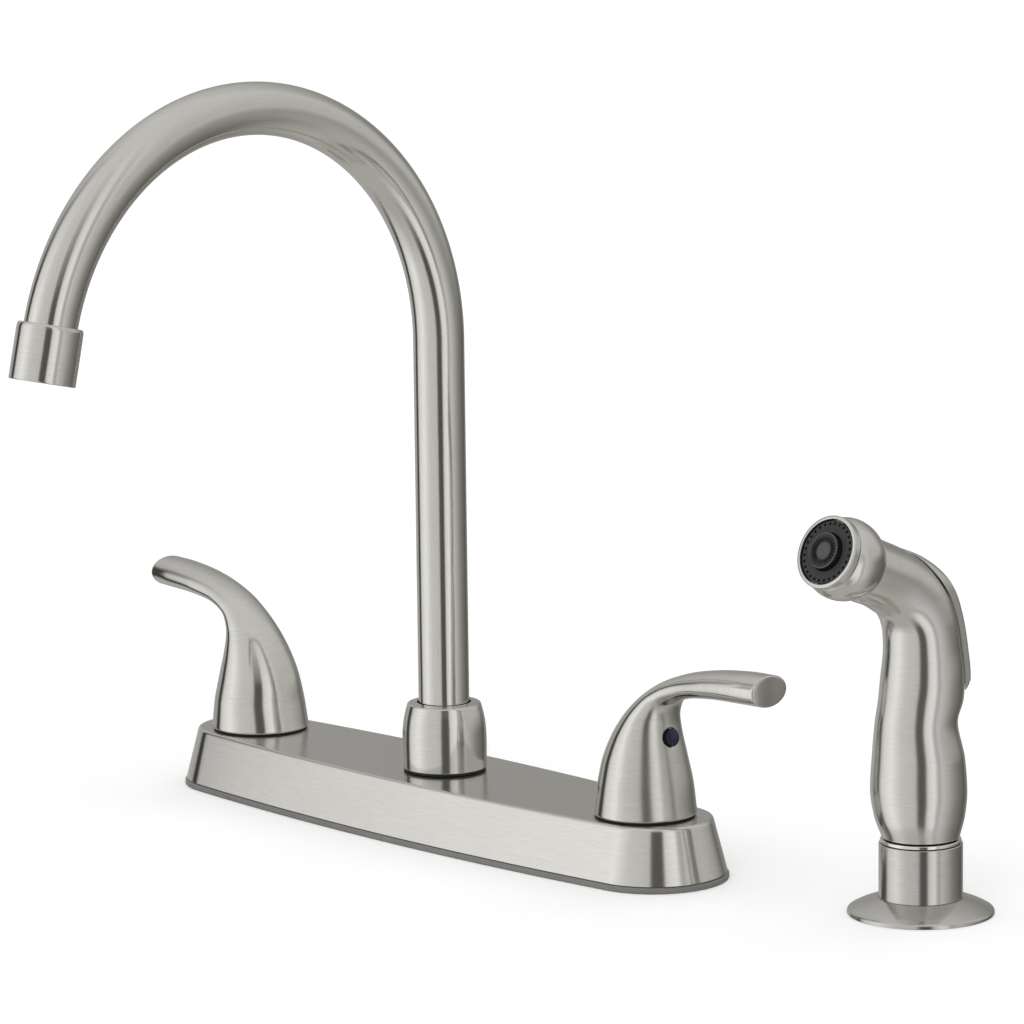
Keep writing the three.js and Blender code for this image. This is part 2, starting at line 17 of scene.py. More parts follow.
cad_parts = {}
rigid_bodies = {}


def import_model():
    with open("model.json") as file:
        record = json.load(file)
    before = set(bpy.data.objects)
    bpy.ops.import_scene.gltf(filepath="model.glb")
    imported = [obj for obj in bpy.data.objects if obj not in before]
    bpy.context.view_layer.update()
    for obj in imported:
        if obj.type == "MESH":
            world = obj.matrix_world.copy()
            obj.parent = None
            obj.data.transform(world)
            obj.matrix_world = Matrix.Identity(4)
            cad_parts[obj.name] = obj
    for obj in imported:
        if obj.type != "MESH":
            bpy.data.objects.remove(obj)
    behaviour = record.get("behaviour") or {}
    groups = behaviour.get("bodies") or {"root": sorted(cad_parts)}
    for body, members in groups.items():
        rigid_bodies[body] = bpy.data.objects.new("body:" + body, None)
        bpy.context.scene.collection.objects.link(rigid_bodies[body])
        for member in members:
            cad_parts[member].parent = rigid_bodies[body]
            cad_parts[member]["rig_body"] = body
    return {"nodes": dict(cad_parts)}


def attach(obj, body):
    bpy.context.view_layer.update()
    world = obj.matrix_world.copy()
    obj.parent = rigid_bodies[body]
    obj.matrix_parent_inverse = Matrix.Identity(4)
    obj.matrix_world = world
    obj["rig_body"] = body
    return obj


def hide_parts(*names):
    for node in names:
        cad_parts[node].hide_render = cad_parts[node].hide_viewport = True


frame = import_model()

LOG = logging.getLogger("faucet")
MM = 0.001
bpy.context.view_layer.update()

# Size of a brushed line in noise units per millimetre: along the line, and across it.
LINE_ALONG = 0.15
LINE_ACROSS = 4.6
# Parts of a millimetre within which two points count as one, and the angle from which an edge is sharp.
PARTS_PER_MM = 2e4
SHARP_DEGREES = 38

# Places shared by several sub-assemblies, in millimetres.
HANDLE_X = 101.6
PLATE_TOP = 21.1
SPRAY_AT = (203.0, 27.3)

Colour = tuple[float, float, float]
Corners = Sequence[Sequence[float]]
Radius = float | Sequence[float]
Socket = bpy.types.NodeSocket

# ------------------------------------------------------------------ the photograph's camera
IMAGE_SIZE = 1024
FOCAL_PX = 5145.5
SENSOR_MM = 36.0
CAMERA_MM = (1326.7, -1170.1, 408.5)
CAMERA_YAW = 47.79
CAMERA_PITCH = 9.51
CAMERA_ROLL = 0.71


class Lines(Enum):
    """The way the brushed lines run on a turned or swept piece."""

    AROUND = "around"
    ALONG = "along"


# ------------------------------------------------------------------ surfaces
@dataclass
class Surface:
    """A skin in millimetres with the brush coordinates of each point.

    Args:
        points: n by 3 positions.
        quads: k by 4 point numbers; a repeated number makes a triangle.
        grain: n by 3 brush coordinates in noise units.
    """

    points: np.ndarray
    quads: np.ndarray
    grain: np.ndarray

    def moved(self, matrix: np.ndarray) -> "Surface":
        """Returns the skin carried by a 4 by 4 matrix; its grain goes along unchanged."""
        points = self.points @ matrix[:3, :3].T + matrix[:3, 3]
        return Surface(points, self.quads, self.grain)

    def sealed(self) -> "Surface":
        """Returns the skin with equal points merged and its faces turned outward.

        The sign of the volume, summed over the triangles from the origin, tells the way round.
        """
        key = np.round(self.points * PARTS_PER_MM).astype(np.int64)
        _, first, where = np.unique(key, axis=0, return_index=True, return_inverse=True)
        points, grain = self.points[first], self.grain[first]
        quads = where.reshape(-1)[self.quads]
        a, b, c, d = (points[quads[:, i]] for i in range(4))
        volume = (np.cross(a, b) * c).sum() + (np.cross(a, c) * d).sum()
        if volume < 0:
            quads = quads[:, ::-1]
        return Surface(points, quads, grain)


def joined(parts: Sequence[Surface]) -> Surface:
    """Returns one skin of several, which stay separate shells."""
    starts = np.cumsum([0] + [len(p.points) for p in parts[:-1]])
    return Surface(np.concatenate([p.points for p in parts]),
                   np.concatenate([p.quads + s for p, s in zip(parts, starts)]),
                   np.concatenate([p.grain for p in parts]))


def sheet(points: np.ndarray, grain: np.ndarray, wrap_rows: bool = False) -> Surface:
    """Lays quads over a grid of points whose columns close in a ring.

    Args:
        points: rows by columns by 3 positions; a point's number is its row times the columns plus its column.
        grain: brush coordinates of the same shape.
        wrap_rows: whether the last row joins the first.
    Returns:
        The surface, neither merged nor turned.
    """
    rows, columns = points.shape[:2]
    i = np.arange(rows if wrap_rows else rows - 1)[:, None]
    j = np.arange(columns)[None, :]
    i1, j1 = (i + 1) % rows, (j + 1) % columns
    corners = [i * columns + j, i * columns + j1, i1 * columns + j1, i1 * columns + j]
    quads = np.stack([c.ravel() for c in corners], axis=1)
    return Surface(points.reshape(-1, 3), quads, grain.reshape(-1, 3))


def skin(points: np.ndarray, grain: np.ndarray, wrap_rows: bool = False) -> Surface:
    """Returns the sheet over a grid of points, merged and turned outward."""
    return sheet(points, grain, wrap_rows).sealed()


def polar(radius: np.ndarray | float, angle: np.ndarray, height: np.ndarray | float) -> np.ndarray:
    """Returns the points (radius cos angle, radius sin angle, height) on one grid."""
    return np.stack(np.broadcast_arrays(radius * np.cos(angle), radius * np.sin(angle), height), axis=-1)


def place(x: float = 0, y: float = 0, z: float = 0, about_x: float = 0, about_y: float = 0,
          about_z: float = 0) -> np.ndarray:
    """Returns the 4 by 4 matrix that turns about X, then Y, then Z in degrees, and then shifts."""
    turn = (Matrix.Rotation(math.radians(about_z), 4, "Z") @ Matrix.Rotation(math.radians(about_y), 4, "Y")
            @ Matrix.Rotation(math.radians(about_x), 4, "X"))
    return np.array(Matrix.Translation(Vector((x, y, z))) @ turn)


def rounded(corners: Corners, radius: Radius = 0.3, steps: int = 5, closed: bool = True) -> np.ndarray:
    """Rounds the corners of a flat line with parabola arcs.

    A corner P becomes (1-t)^2 A + 2t(1-t) P + t^2 B, where A and B lie on its two sides at the
    reach of the radius, at most half of the side. Two more points on the sides beyond A and B keep
    the shading of the straight stretches flat.

    Args:
        corners: n by 2 points.
        radius: one reach for all corners, or one for each.
        steps: points on each arc.
        closed: whether the last point joins the first; if not, the two ends stay as they are.
    Returns:
        The m by 2 points of the rounded line.
    """
    p = np.asarray(corners, float)
    reach = np.broadcast_to(np.asarray(radius, float), (len(p),)).copy()
    if not closed:
        reach[[0, -1]] = 0
    to_last, to_next = np.roll(p, 1, axis=0) - p, np.roll(p, -1, axis=0) - p
    long_last, long_next = (np.linalg.norm(v, axis=1) for v in (to_last, to_next))
    u, v = to_last / long_last[:, None], to_next / long_next[:, None]
    before, after = np.minimum(reach, long_last * 0.49), np.minimum(reach, long_next * 0.49)
    a, b = p + u * before[:, None], p + v * after[:, None]
    t = np.linspace(0, 1, steps)[None, :, None]
    arc = (1 - t) ** 2 * a[:, None] + 2 * t * (1 - t) * p[:, None] + t ** 2 * b[:, None]
    ease = 0.35 * (reach > 0)
    lead = p + u * np.minimum(before + ease * reach, long_last * 0.495)[:, None]
    trail = p + v * np.minimum(after + ease * reach, long_next * 0.495)[:, None]
    line = np.concatenate([lead[:, None], arc, trail[:, None]], axis=1)
    return line.reshape(-1, 2) if closed else line.reshape(-1, 2)[steps + 1:-(steps + 1)]


def lengths(line: np.ndarray) -> np.ndarray:
    """Returns the distance travelled to each point of a line."""
    return np.concatenate([[0], np.cumsum(np.linalg.norm(np.diff(line, axis=0), axis=1))])


Path = Callable[[np.ndarray], tuple[np.ndarray, np.ndarray, np.ndarray]]


def straight(h: np.ndarray) -> tuple[np.ndarray, np.ndarray, np.ndarray]:
    """Returns centre, first and second cross direction at heights h along +Z."""
    zero, one = np.zeros_like(h), np.ones_like(h)
    return (np.stack([zero, zero, h], -1), np.stack([one, zero, zero], -1),
            np.stack([zero, one, zero], -1))


def lathe(profile: np.ndarray, columns: int = 96, path: Path = straight,
          lines: Lines = Lines.AROUND, radii: np.ndarray | None = None) -> Surface:
    """Carries a profile of (radius, height) round an axis that may itself be bent.

    The point at angle q and profile point (r, h) is centre(h) + r cos q first(h) + r sin q second(h).

    Args:
        profile: closed loop of points, or one that starts and ends at radius 0.
        columns: points round the axis.
        path: gives the centre and the two cross directions at a height.
        lines: the way of the brushed lines.
        radii: rows by columns radii that take the place of the profile's own, for threads and flutes.
    Returns:
        The closed surface.
    """
    r, h = profile[:, 0], profile[:, 1]
    q = np.linspace(0, 2 * np.pi, columns, endpoint=False)
    centre, first, second = (v[:, None, :] for v in path(h))
    radius = (np.broadcast_to(r[:, None], (len(r), columns)) if radii is None else radii)[..., None]
    cosine, sine = np.cos(q)[None, :, None], np.sin(q)[None, :, None]
    points = centre + radius * (cosine * first + sine * second)
    s = np.broadcast_to(lengths(profile)[:, None, None], radius.shape)
    across, along = (LINE_ALONG, LINE_ACROSS) if lines is Lines.AROUND else (LINE_ACROSS, LINE_ALONG)
    grain = np.concatenate([radius * cosine * across, radius * sine * across, s * along], axis=-1)
    return skin(points, grain, wrap_rows=bool(r[0] > 1e-6 or r[-1] > 1e-6))


def turned(corners: Corners, radius: Radius = 0.3, columns: int = 96, steps: int = 5) -> Surface:
    """Returns the lathe surface of a profile with rounded corners, not looped if it starts on the axis."""
    return lathe(rounded(corners, radius, steps, closed=corners[0][0] != 0), columns)


def threaded(corners: Corners, side: int, pitch: float, depth: float, fade: float = 1.2,
             radius: Radius = 0.25, columns: int = 64) -> Surface:
    """A turned piece with a screw thread on one straight side of its profile.

    On that side the radius drops by the depth times 1 - |2 frac(h / pitch - q / turn) - 1|,
    and the thread fades out over a short way at both ends.

    Args:
        corners: closed loop of (radius, height).
        side: number of the corner where the threaded side starts.
        pitch: distance between two turns.
        depth: depth of the groove.
        fade: length over which the thread runs out.
        radius: rounding of the corners.
        columns: points round the axis.
    Returns:
        The closed surface.
    """
    a, b = np.asarray(corners[side], float), np.asarray(corners[(side + 1) % len(corners)], float)
    count = max(8, int(abs(b[1] - a[1]) / pitch * 8))
    t = np.linspace(0.04, 0.96, count)[:, None]
    line = rounded(corners, radius)
    cut = len(line) // len(corners) * (side + 1)
    profile = np.concatenate([line[:cut], a + (b - a) * t, line[cut:]])
    q = np.linspace(0, 1, columns, endpoint=False)
    h = profile[:, 1:2]
    groove = 1 - np.abs(2 * np.mod(h / pitch - q[None, :], 1) - 1)
    inside = np.zeros(len(profile))
    z = profile[cut:cut + count, 1]
    inside[cut:cut + count] = np.clip(np.minimum(np.abs(z - a[1]), np.abs(z - b[1])) / fade, 0, 1)
    return lathe(profile, columns, radii=profile[:, 0:1] - depth * groove * inside[:, None])


def hex_nut(across_flats: float, bore: float, low: float, high: float) -> Surface:
    """A six-sided nut: the outer radius at angle q is half the flats over cos of the angle to the flat.

    The chamfer cuts the corners at both ends, where the radius stays under half the flats plus a rise.

    Args:
        across_flats: distance between two opposite flats.
        bore: radius of the hole.
        low: height of the lower end.
        high: height of the upper end.
    Returns:
        The closed surface.
    """
    columns, chamfer = 144, 1.0
    half = across_flats / 2
    q = np.linspace(0, 2 * np.pi, columns, endpoint=False)
    to_flat = np.mod(q + np.pi / 6, np.pi / 3) - np.pi / 6
    corner = np.minimum(half / np.cos(to_flat), half * 1.135)
    z = np.array([low, low, low + 0.35 * chamfer, low + chamfer, high - chamfer, high - 0.35 * chamfer,
                  high, high, high, high - 0.4, low + 0.4, low])
    room = np.array([-9, 0.0, 0.055, 0.2, 0.2, 0.055, 0.0, -9, -9, -9, -9, -9])
    flat = np.array([bore + 0.5, 0, 0, 0, 0, 0, 0, bore + 0.5, bore + 0.4, bore, bore, bore + 0.4])
    outer = np.minimum(corner[None, :], half * (1 + room[:, None]))
    radii = np.where(room[:, None] < -1, flat[:, None], outer)
    profile = np.stack([radii.mean(axis=1), z], axis=1)
    return lathe(profile, columns, radii=radii)


def catmull_rom(stations: np.ndarray, t: np.ndarray) -> np.ndarray:
    """Smooth curve through the stations, centripetal, at equal parts of t from 0 to 1.

    Between two stations it is the cubic whose end slopes come from the neighbours, each weighed by
    the square root of the distance. The ends are extended by mirroring their first step.

    Args:
        stations: n by 2 points.
        t: places along the curve, 0 to 1.
    Returns:
        A point for each t.
    """
    p = np.vstack([2 * stations[0] - stations[1], stations, 2 * stations[-1] - stations[-2]])
    spans = len(stations) - 1
    i = np.minimum((t * spans).astype(int), spans - 1)
    w = (t * spans - i)[:, None]
    x0, x1, x2, x3 = (p[i + k] for k in range(4))
    d0, d1, d2 = (np.linalg.norm(b - a, axis=1, keepdims=True) ** 0.5
                  for a, b in ((x0, x1), (x1, x2), (x2, x3)))
    d1 = np.where(d1 < 1e-4, 1, d1)
    d0, d2 = np.where(d0 < 1e-4, d1, d0), np.where(d2 < 1e-4, d1, d2)
    t1 = ((x1 - x0) / d0 - (x2 - x0) / (d0 + d1) + (x2 - x1) / d1) * d1
    t2 = ((x2 - x1) / d1 - (x3 - x1) / (d1 + d2) + (x3 - x2) / d2) * d1
    return x1 + t1 * w + (3 * (x2 - x1) - 2 * t1 - t2) * w ** 2 + (2 * (x1 - x2) + t1 + t2) * w ** 3


@dataclass(frozen=True)
class Horn:
    """Oval sections between a back and a front curve in the XZ plane.

    Args:
        stations: rows of back x, back z, front x, front z and half width.
    """

    stations: tuple[tuple[float, ...], ...]

    def curves(self, t: np.ndarray) -> tuple[np.ndarray, np.ndarray, np.ndarray]:
        """Returns the back points, the front points and the half widths at each t, as columns."""
        s = np.asarray(self.stations, float)
        return catmull_rom(s[:, 0:2], t), catmull_rom(s[:, 2:4], t), catmull_rom(s[:, [4, 4]], t)[:, :1]

    def point(self, t: np.ndarray, a: np.ndarray, grow: np.ndarray | float = 0) -> np.ndarray:
        """Point at t along and angle a round: back + (front - back)(1 - cos a)/2, y = width sin a.

        Args:
            t: one value a row, 0 to 1.
            a: rows by columns angles, 0 at the back and pi at the front.
            grow: distance that the skin moves outward, one number or rows by columns.
        Returns:
            rows by columns by 3 points.
        """
        back, front, width = self.curves(t)
        back, front = back[:, None], front[:, None]
        grow = np.broadcast_to(np.asarray(grow, float), a.shape)
        out = back - front
        out = out / np.linalg.norm(out, axis=-1, keepdims=True)
        share = ((1 - np.cos(a)) / 2)[..., None]
        flat = back + out * grow[..., None] + (front - back - 2 * out * grow[..., None]) * share
        return np.stack([flat[..., 0], (width + grow) * np.sin(a), flat[..., 1]], axis=-1)

    def travel(self, t: np.ndarray) -> np.ndarray:
        """Returns the length along the middle of the horn at each t, in millimetres."""
        fine = np.linspace(0, 1, 400)
        back, front, _ = self.curves(fine)
        middle = (back + front) / 2
        return np.interp(t, fine, lengths(middle))


def horn_grain(points: np.ndarray, travel: np.ndarray) -> np.ndarray:
    """Brush coordinates for lines round a horn: slow in x, y and z, quick along its length.

    Args:
        points: rows by columns by 3 positions.
        travel: length along the horn at each row.
    Returns:
        Rows by columns by 3 coordinates.
    """
    slow = (points[..., 0] + points[..., 2]) * LINE_ALONG
    across = np.broadcast_to((travel * LINE_ACROSS)[:, None], slow.shape)
    return np.stack([slow, points[..., 1] * LINE_ALONG, across], axis=-1)


def smooth_step(x: np.ndarray) -> np.ndarray:
    """Returns 3x^2 - 2x^3 of x held between 0 and 1."""
    x = np.clip(x, 0, 1)
    return x * x * (3 - 2 * x)


# ------------------------------------------------------------------ finishes
class Nodes:
    """A node tree under construction, with short ways to add and link nodes."""

    def __init__(self, tree: bpy.types.NodeTree) -> None:
        """Empties the tree."""
        self.tree = tree
        tree.nodes.clear()

    def add(self, kind: str, inputs: dict | None = None, **settings: object) -> bpy.types.Node:
        """Adds a node.

        Args:
            kind: the node's Blender type.
            inputs: socket name or number to a value, or to the socket that feeds it.
            settings: properties of the node.
        Returns:
            The node.
        """
        node = self.tree.nodes.new(kind)
        for name, value in settings.items():
            setattr(node, name, value)
        for name, value in (inputs or {}).items():
            if isinstance(value, bpy.types.NodeSocket):
                self.tree.links.new(value, node.inputs[name])
            else:
                node.inputs[name].default_value = value
        return node

    def calculate(self, operation: str, *values: Socket | float) -> Socket:
        """Returns the result of a math node on values or sockets."""
        return self.add("ShaderNodeMath", dict(enumerate(values)), operation=operation).outputs[0]

    def sum(self, a: Socket, b: Socket, weight: float) -> Socket:
        """Returns a + weight b."""
        return self.calculate("MULTIPLY_ADD", b, weight, a)

    def noise(self, vector: Socket, scale: float, detail: float = 2, roughness: float = 0.5) -> Socket:
        """Returns the value of a noise over the vector."""
        return self.add("ShaderNodeTexNoise", {"Vector": vector, "Scale": scale, "Detail": detail,
                                               "Roughness": roughness}).outputs["Fac"]

    def scaled(self, value: Socket, low: float, high: float, from_low: float = 0.3,
               from_high: float = 0.7) -> Socket:
        """Returns the value carried from one range to another, held at its ends."""
        return self.add("ShaderNodeMapRange", {"Value": value, "From Min": from_low, "From Max": from_high,
                                               "To Min": low, "To Max": high}).outputs["Result"]

    def blended(self, fac: Socket, a: Socket | Colour, b: Socket | Colour) -> Socket:
        """Mixes two colours.

        Args:
            fac: share of the second.
            a: first colour, or the socket that gives it.
            b: second colour, or the socket that gives it.
        Returns:
            The mixed colour.
        """
        node = self.add("ShaderNodeMix", {"Factor": fac}, data_type="RGBA")
        for socket, colour in zip((s for s in node.inputs if s.type == "RGBA"), (a, b)):
            if isinstance(colour, Socket):
                self.tree.links.new(colour, socket)
            else:
                socket.default_value = (*colour, 1)
        return next(s for s in node.outputs if s.type == "RGBA")

    def round_ramp(self, share: Socket, stops: Sequence[tuple[float, Colour]]) -> Socket:
        """Adds a ramp over the full turn.

        Args:
            share: place in the turn, 0 at -180 degrees and 1 at 180.
            stops: degrees and colour of each stop, in order.
        Returns:
            The ramp's colour.
        """
        node = self.add("ShaderNodeValToRGB", {"Fac": share})
        elements = node.color_ramp.elements
        for number, (degrees, colour) in enumerate(stops):
            at = (degrees + 180) / 360
            stop = elements[number] if number < 2 else elements.new(at)
            stop.position = at
            stop.color = (*colour, 1)
        return node.outputs["Color"]

    def shade(self, inputs: dict) -> None:
        """Closes a material's tree with a shader of the given inputs."""
        shader = self.add("ShaderNodeBsdfPrincipled", inputs)
        self.add("ShaderNodeOutputMaterial", {"Surface": shader.outputs["BSDF"]})

    def bump(self, height: Socket, strength: float, distance: float) -> Socket:
        """Returns the normal of a bump of the height."""
        return self.add("ShaderNodeBump", {"Strength": strength, "Distance": distance,
                                           "Height": height}).outputs["Normal"]


@dataclass(frozen=True)
class Finish:
    """A procedural material.

    Args:
        name: the material's name.
        light: colour of the open metal, or lighter colour of the mottle.
        dark: colour at the foot of the lines, or darker colour of the mottle.
    """

    name: str
    light: Colour
    dark: Colour

    def make(self) -> bpy.types.Material:
        """Returns the material, made at its first use."""
        if self.name in bpy.data.materials:
            return bpy.data.materials[self.name]
        material = bpy.data.materials.new(self.name)
        material.use_nodes = True
        n = Nodes(material.node_tree)
        self.fill(n, n.add("ShaderNodeTexCoord").outputs["Object"])
        return material

    def fill(self, n: Nodes, place_on: Socket) -> None:
        """Builds the material's nodes; each kind of finish has its own.

        Args:
            n: the material's empty tree.
            place_on: Object coordinates.
        """
        raise NotImplementedError


@dataclass(frozen=True)
class Brushed(Finish):
    """Satin metal with fine drawn lines that follow the piece's brush coordinates.

    Args:
        rough: least and most roughness.
        lines: height of the drawn lines in the bump.
    """

    rough: tuple[float, float] = (0.1, 0.15)
    lines: float = 0.07

    def fill(self, n: Nodes, place_on: Socket) -> None:
        """Fine and wide lines on the grain, and slow clouds, give the tone, the roughness and the bump."""
        grain = n.add("ShaderNodeAttribute", attribute_name="grain").outputs["Vector"]
        fine = n.noise(grain, 1.1, 2, 0.6)
        wide = n.noise(grain, 0.22, 2)
        clouds = n.noise(place_on, 38, 3)
        tone = n.sum(n.sum(fine, wide, 0.12), clouds, 0.3)
        colour = n.blended(n.scaled(tone, 0, 1, 0.45, 0.97), self.dark, self.light)
        rough = n.scaled(n.sum(fine, clouds, 0.6), self.rough[1], self.rough[0], 0.5, 1.1)
        n.shade({"Base Color": colour, "Roughness": rough, "Metallic": 1.0,
                 "Normal": n.bump(n.sum(fine, wide, 0.1), self.lines, 0.0001)})


@dataclass(frozen=True)
class Cast(Finish):
    """Plain metal, rubber, plastic or ceramic with a fine surface on Object coordinates.

    Args:
        metal: metallic share.
        rough: least and most roughness.
        size: features of the mottle per metre.
        grit: strength of the bump.
        shine: specular level.
    """

    metal: float = 0.0
    rough: tuple[float, float] = (0.4, 0.55)
    size: float = 400
    grit: float = 0.1
    shine: float = 0.5

    def fill(self, n: Nodes, place_on: Socket) -> None:
        """A mottle and a slower one give the tone, and a finer one the bump."""
        mottle = n.noise(place_on, self.size, 4, 0.6)
        slow = n.noise(place_on, self.size / 9, 2)
        colour = n.blended(n.scaled(n.sum(mottle, slow, 0.6), 0, 1, 0.5, 1.1), self.dark, self.light)
        n.shade({"Base Color": colour, "Roughness": n.scaled(mottle, *self.rough), "Metallic": self.metal,
                 "Normal": n.bump(n.noise(place_on, self.size * 4, 3), self.grit, 0.0002),
                 "Specular IOR Level": self.shine})


NICKEL = Brushed("brushed nickel", (0.715, 0.706, 0.668), (0.63, 0.62, 0.585))
NICKEL_SATIN = Brushed("satin nickel", (0.7, 0.69, 0.655), (0.64, 0.63, 0.595), (0.15, 0.2), 0.03)
NICKEL_STAND = Brushed("satin nickel stand", (0.63, 0.622, 0.588), (0.55, 0.54, 0.508), (0.14, 0.2), 0.05)
NICKEL_TIP = Brushed("brushed nickel end", (0.68, 0.67, 0.63), (0.6, 0.59, 0.555), (0.2, 0.27), 0.07)
NICKEL_TOP = Brushed("brushed nickel flat", (0.69, 0.68, 0.645), (0.64, 0.63, 0.595), (0.16, 0.22), 0.04)
NICKEL_TUBE = Brushed("brushed nickel tube", (0.715, 0.706, 0.668), (0.63, 0.62, 0.585), (0.09, 0.14), 0.08)
NICKEL_BRIGHT = Brushed("bright nickel", (0.83, 0.81, 0.77), (0.77, 0.75, 0.7), (0.08, 0.12), 0.02)
BRASS = Brushed("turned brass", (0.64, 0.5, 0.29), (0.48, 0.36, 0.2), (0.22, 0.34), 0.12)
BRASS_CAST = Cast("cast brass", (0.68, 0.5, 0.25), (0.48, 0.33, 0.15), 1.0, (0.35, 0.55), 900, 0.25)
STEEL = Brushed("stainless steel", (0.6, 0.6, 0.6), (0.45, 0.45, 0.46), (0.25, 0.36), 0.12)
STEEL_WIRE = Cast("drawn steel", (0.58, 0.58, 0.59), (0.4, 0.4, 0.41), 1.0, (0.25, 0.4), 1500, 0.15)
RUBBER_GREY = Cast("grey rubber", (0.21, 0.206, 0.197), (0.16, 0.157, 0.15), 0.0, (0.3, 0.42), 1100, 0.2)
RUBBER_FACE = Cast("grey-black rubber", (0.034, 0.035, 0.036), (0.022, 0.023, 0.024), 0.0, (0.5, 0.7),
                   1600, 0.35)
RUBBER_BLACK = Cast("black rubber", (0.02, 0.02, 0.021), (0.008, 0.008, 0.009), 0.0, (0.5, 0.72), 1600, 0.35)
PLASTIC_BLACK = Cast("black plastic", (0.032, 0.033, 0.035), (0.014, 0.014, 0.016), 0.0, (0.28, 0.42),
                     900, 0.12)
PLASTIC_WHITE = Cast("white plastic", (0.76, 0.76, 0.73), (0.66, 0.66, 0.63), 0.0, (0.4, 0.55), 700, 0.12)
CERAMIC = Cast("ceramic", (0.85, 0.84, 0.81), (0.76, 0.75, 0.72), 0.0, (0.15, 0.3), 1400, 0.05)
PLASTIC_DISC = Cast("fluted plastic", (0.07, 0.072, 0.075), (0.046, 0.048, 0.05), 0.0, (0.2, 0.3), 900, 0.1)
# Painted shade: a near-black, dull plastic laid on faces that lie in shade, in the collar's bore, round the
# plug's edge and on the wall round the spray face's middle.
PAINTED_SHADE_BLACK = Cast("painted shade black plastic", (0.012, 0.012, 0.013), (0.006, 0.006, 0.007), 0.0, (0.5, 0.7),
                    900, 0.12, 0.08)
PLUG_BLUE = Cast("blue enamel", (0.006, 0.008, 0.04), (0.002, 0.003, 0.022), 0.0, (0.1, 0.18), 2500, 0.05)
PLUG_RED = Cast("red enamel", (0.26, 0.012, 0.014), (0.16, 0.006, 0.008), 0.0, (0.1, 0.18), 2500, 0.05)


# ------------------------------------------------------------------ making a piece
def make_mesh(name: str, surface: Surface) -> bpy.types.Object:
    """Puts a surface into a Blender mesh in metres, with its brush coordinates.

    A quad with one repeated point is written as a triangle; one with two is left out.

    Args:
        name: name of the piece.
        surface: the closed skin.
    Returns:
        The linked object, at the origin.
    """
    quads = surface.quads
    same = quads == np.roll(quads, -1, axis=1)
    whole, three = quads[same.sum(1) == 0], quads[same.sum(1) == 1]
    three = three[~same[same.sum(1) == 1]].reshape(-1, 3)
    corners = np.concatenate([whole.ravel(), three.ravel()]).astype(np.int32)
    starts = np.concatenate([np.arange(len(whole)) * 4, len(whole) * 4 + np.arange(len(three)) * 3])
    mesh = bpy.data.meshes.new(name)
    mesh.vertices.add(len(surface.points))
    mesh.vertices.foreach_set("co", (surface.points * MM).astype(np.float32).ravel())
    mesh.loops.add(len(corners))
    mesh.loops.foreach_set("vertex_index", corners)
    mesh.polygons.add(len(starts))
    mesh.polygons.foreach_set("loop_start", starts.astype(np.int32))
    mesh.update(calc_edges=True)
    mesh.validate()
    layer = mesh.attributes.new("grain", "FLOAT_VECTOR", "POINT")
    layer.data.foreach_set("vector", surface.grain.astype(np.float32).ravel())
    mesh.shade_smooth()
    mesh.set_sharp_from_angle(angle=math.radians(SHARP_DEGREES))
    piece = bpy.data.objects.new(name, mesh)
    bpy.context.scene.collection.objects.link(piece)
    return piece


def dress(name: str, surface: Surface, node: str, finish: Finish) -> bpy.types.Object:
    """Makes a piece that stands for a CAD node and rides on the node's body.

    Args:
        name: name of the piece.
        surface: its closed skin in millimetres.
        node: the CAD node that it replaces.
        finish: its material.
    Returns:
        The piece.
    """
    piece = make_mesh(name, surface)
    piece.data.materials.append(finish.make())
    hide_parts(node)
    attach(piece, frame["nodes"][node]["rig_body"])
    LOG.info("%s stands for %s: %d faces", name, node, len(piece.data.polygons))
    return piece


def refinish(finish: Finish, *nodes: str) -> None:
    """Gives the CAD nodes that stay a better material.

    Args:
        finish: the material.
        nodes: names of the nodes.
    """
    for node in nodes:
        mesh = frame["nodes"][node].data
        mesh.materials.clear()
        mesh.materials.append(finish.make())
        LOG.info("%s keeps its shape in %s", node, finish.name)


def of_faces(piece: bpy.types.Object, kind: str) -> np.ndarray:
    """Reads a vector of each face.

    Args:
        piece: the piece.
        kind: "normal" or "center".
    Returns:
        One row for each face.
    """
    values = np.zeros(len(piece.data.polygons) * 3, np.float32)
    piece.data.polygons.foreach_get(kind, values)
    return values.reshape(-1, 3)


def refinish_faces(piece: bpy.types.Object, finish: Finish, chosen: np.ndarray) -> None:
    """Gives the chosen faces of a piece a second finish."""
    piece.data.materials.append(finish.make())
    piece.data.polygons.foreach_set("material_index", chosen.astype(np.int32))


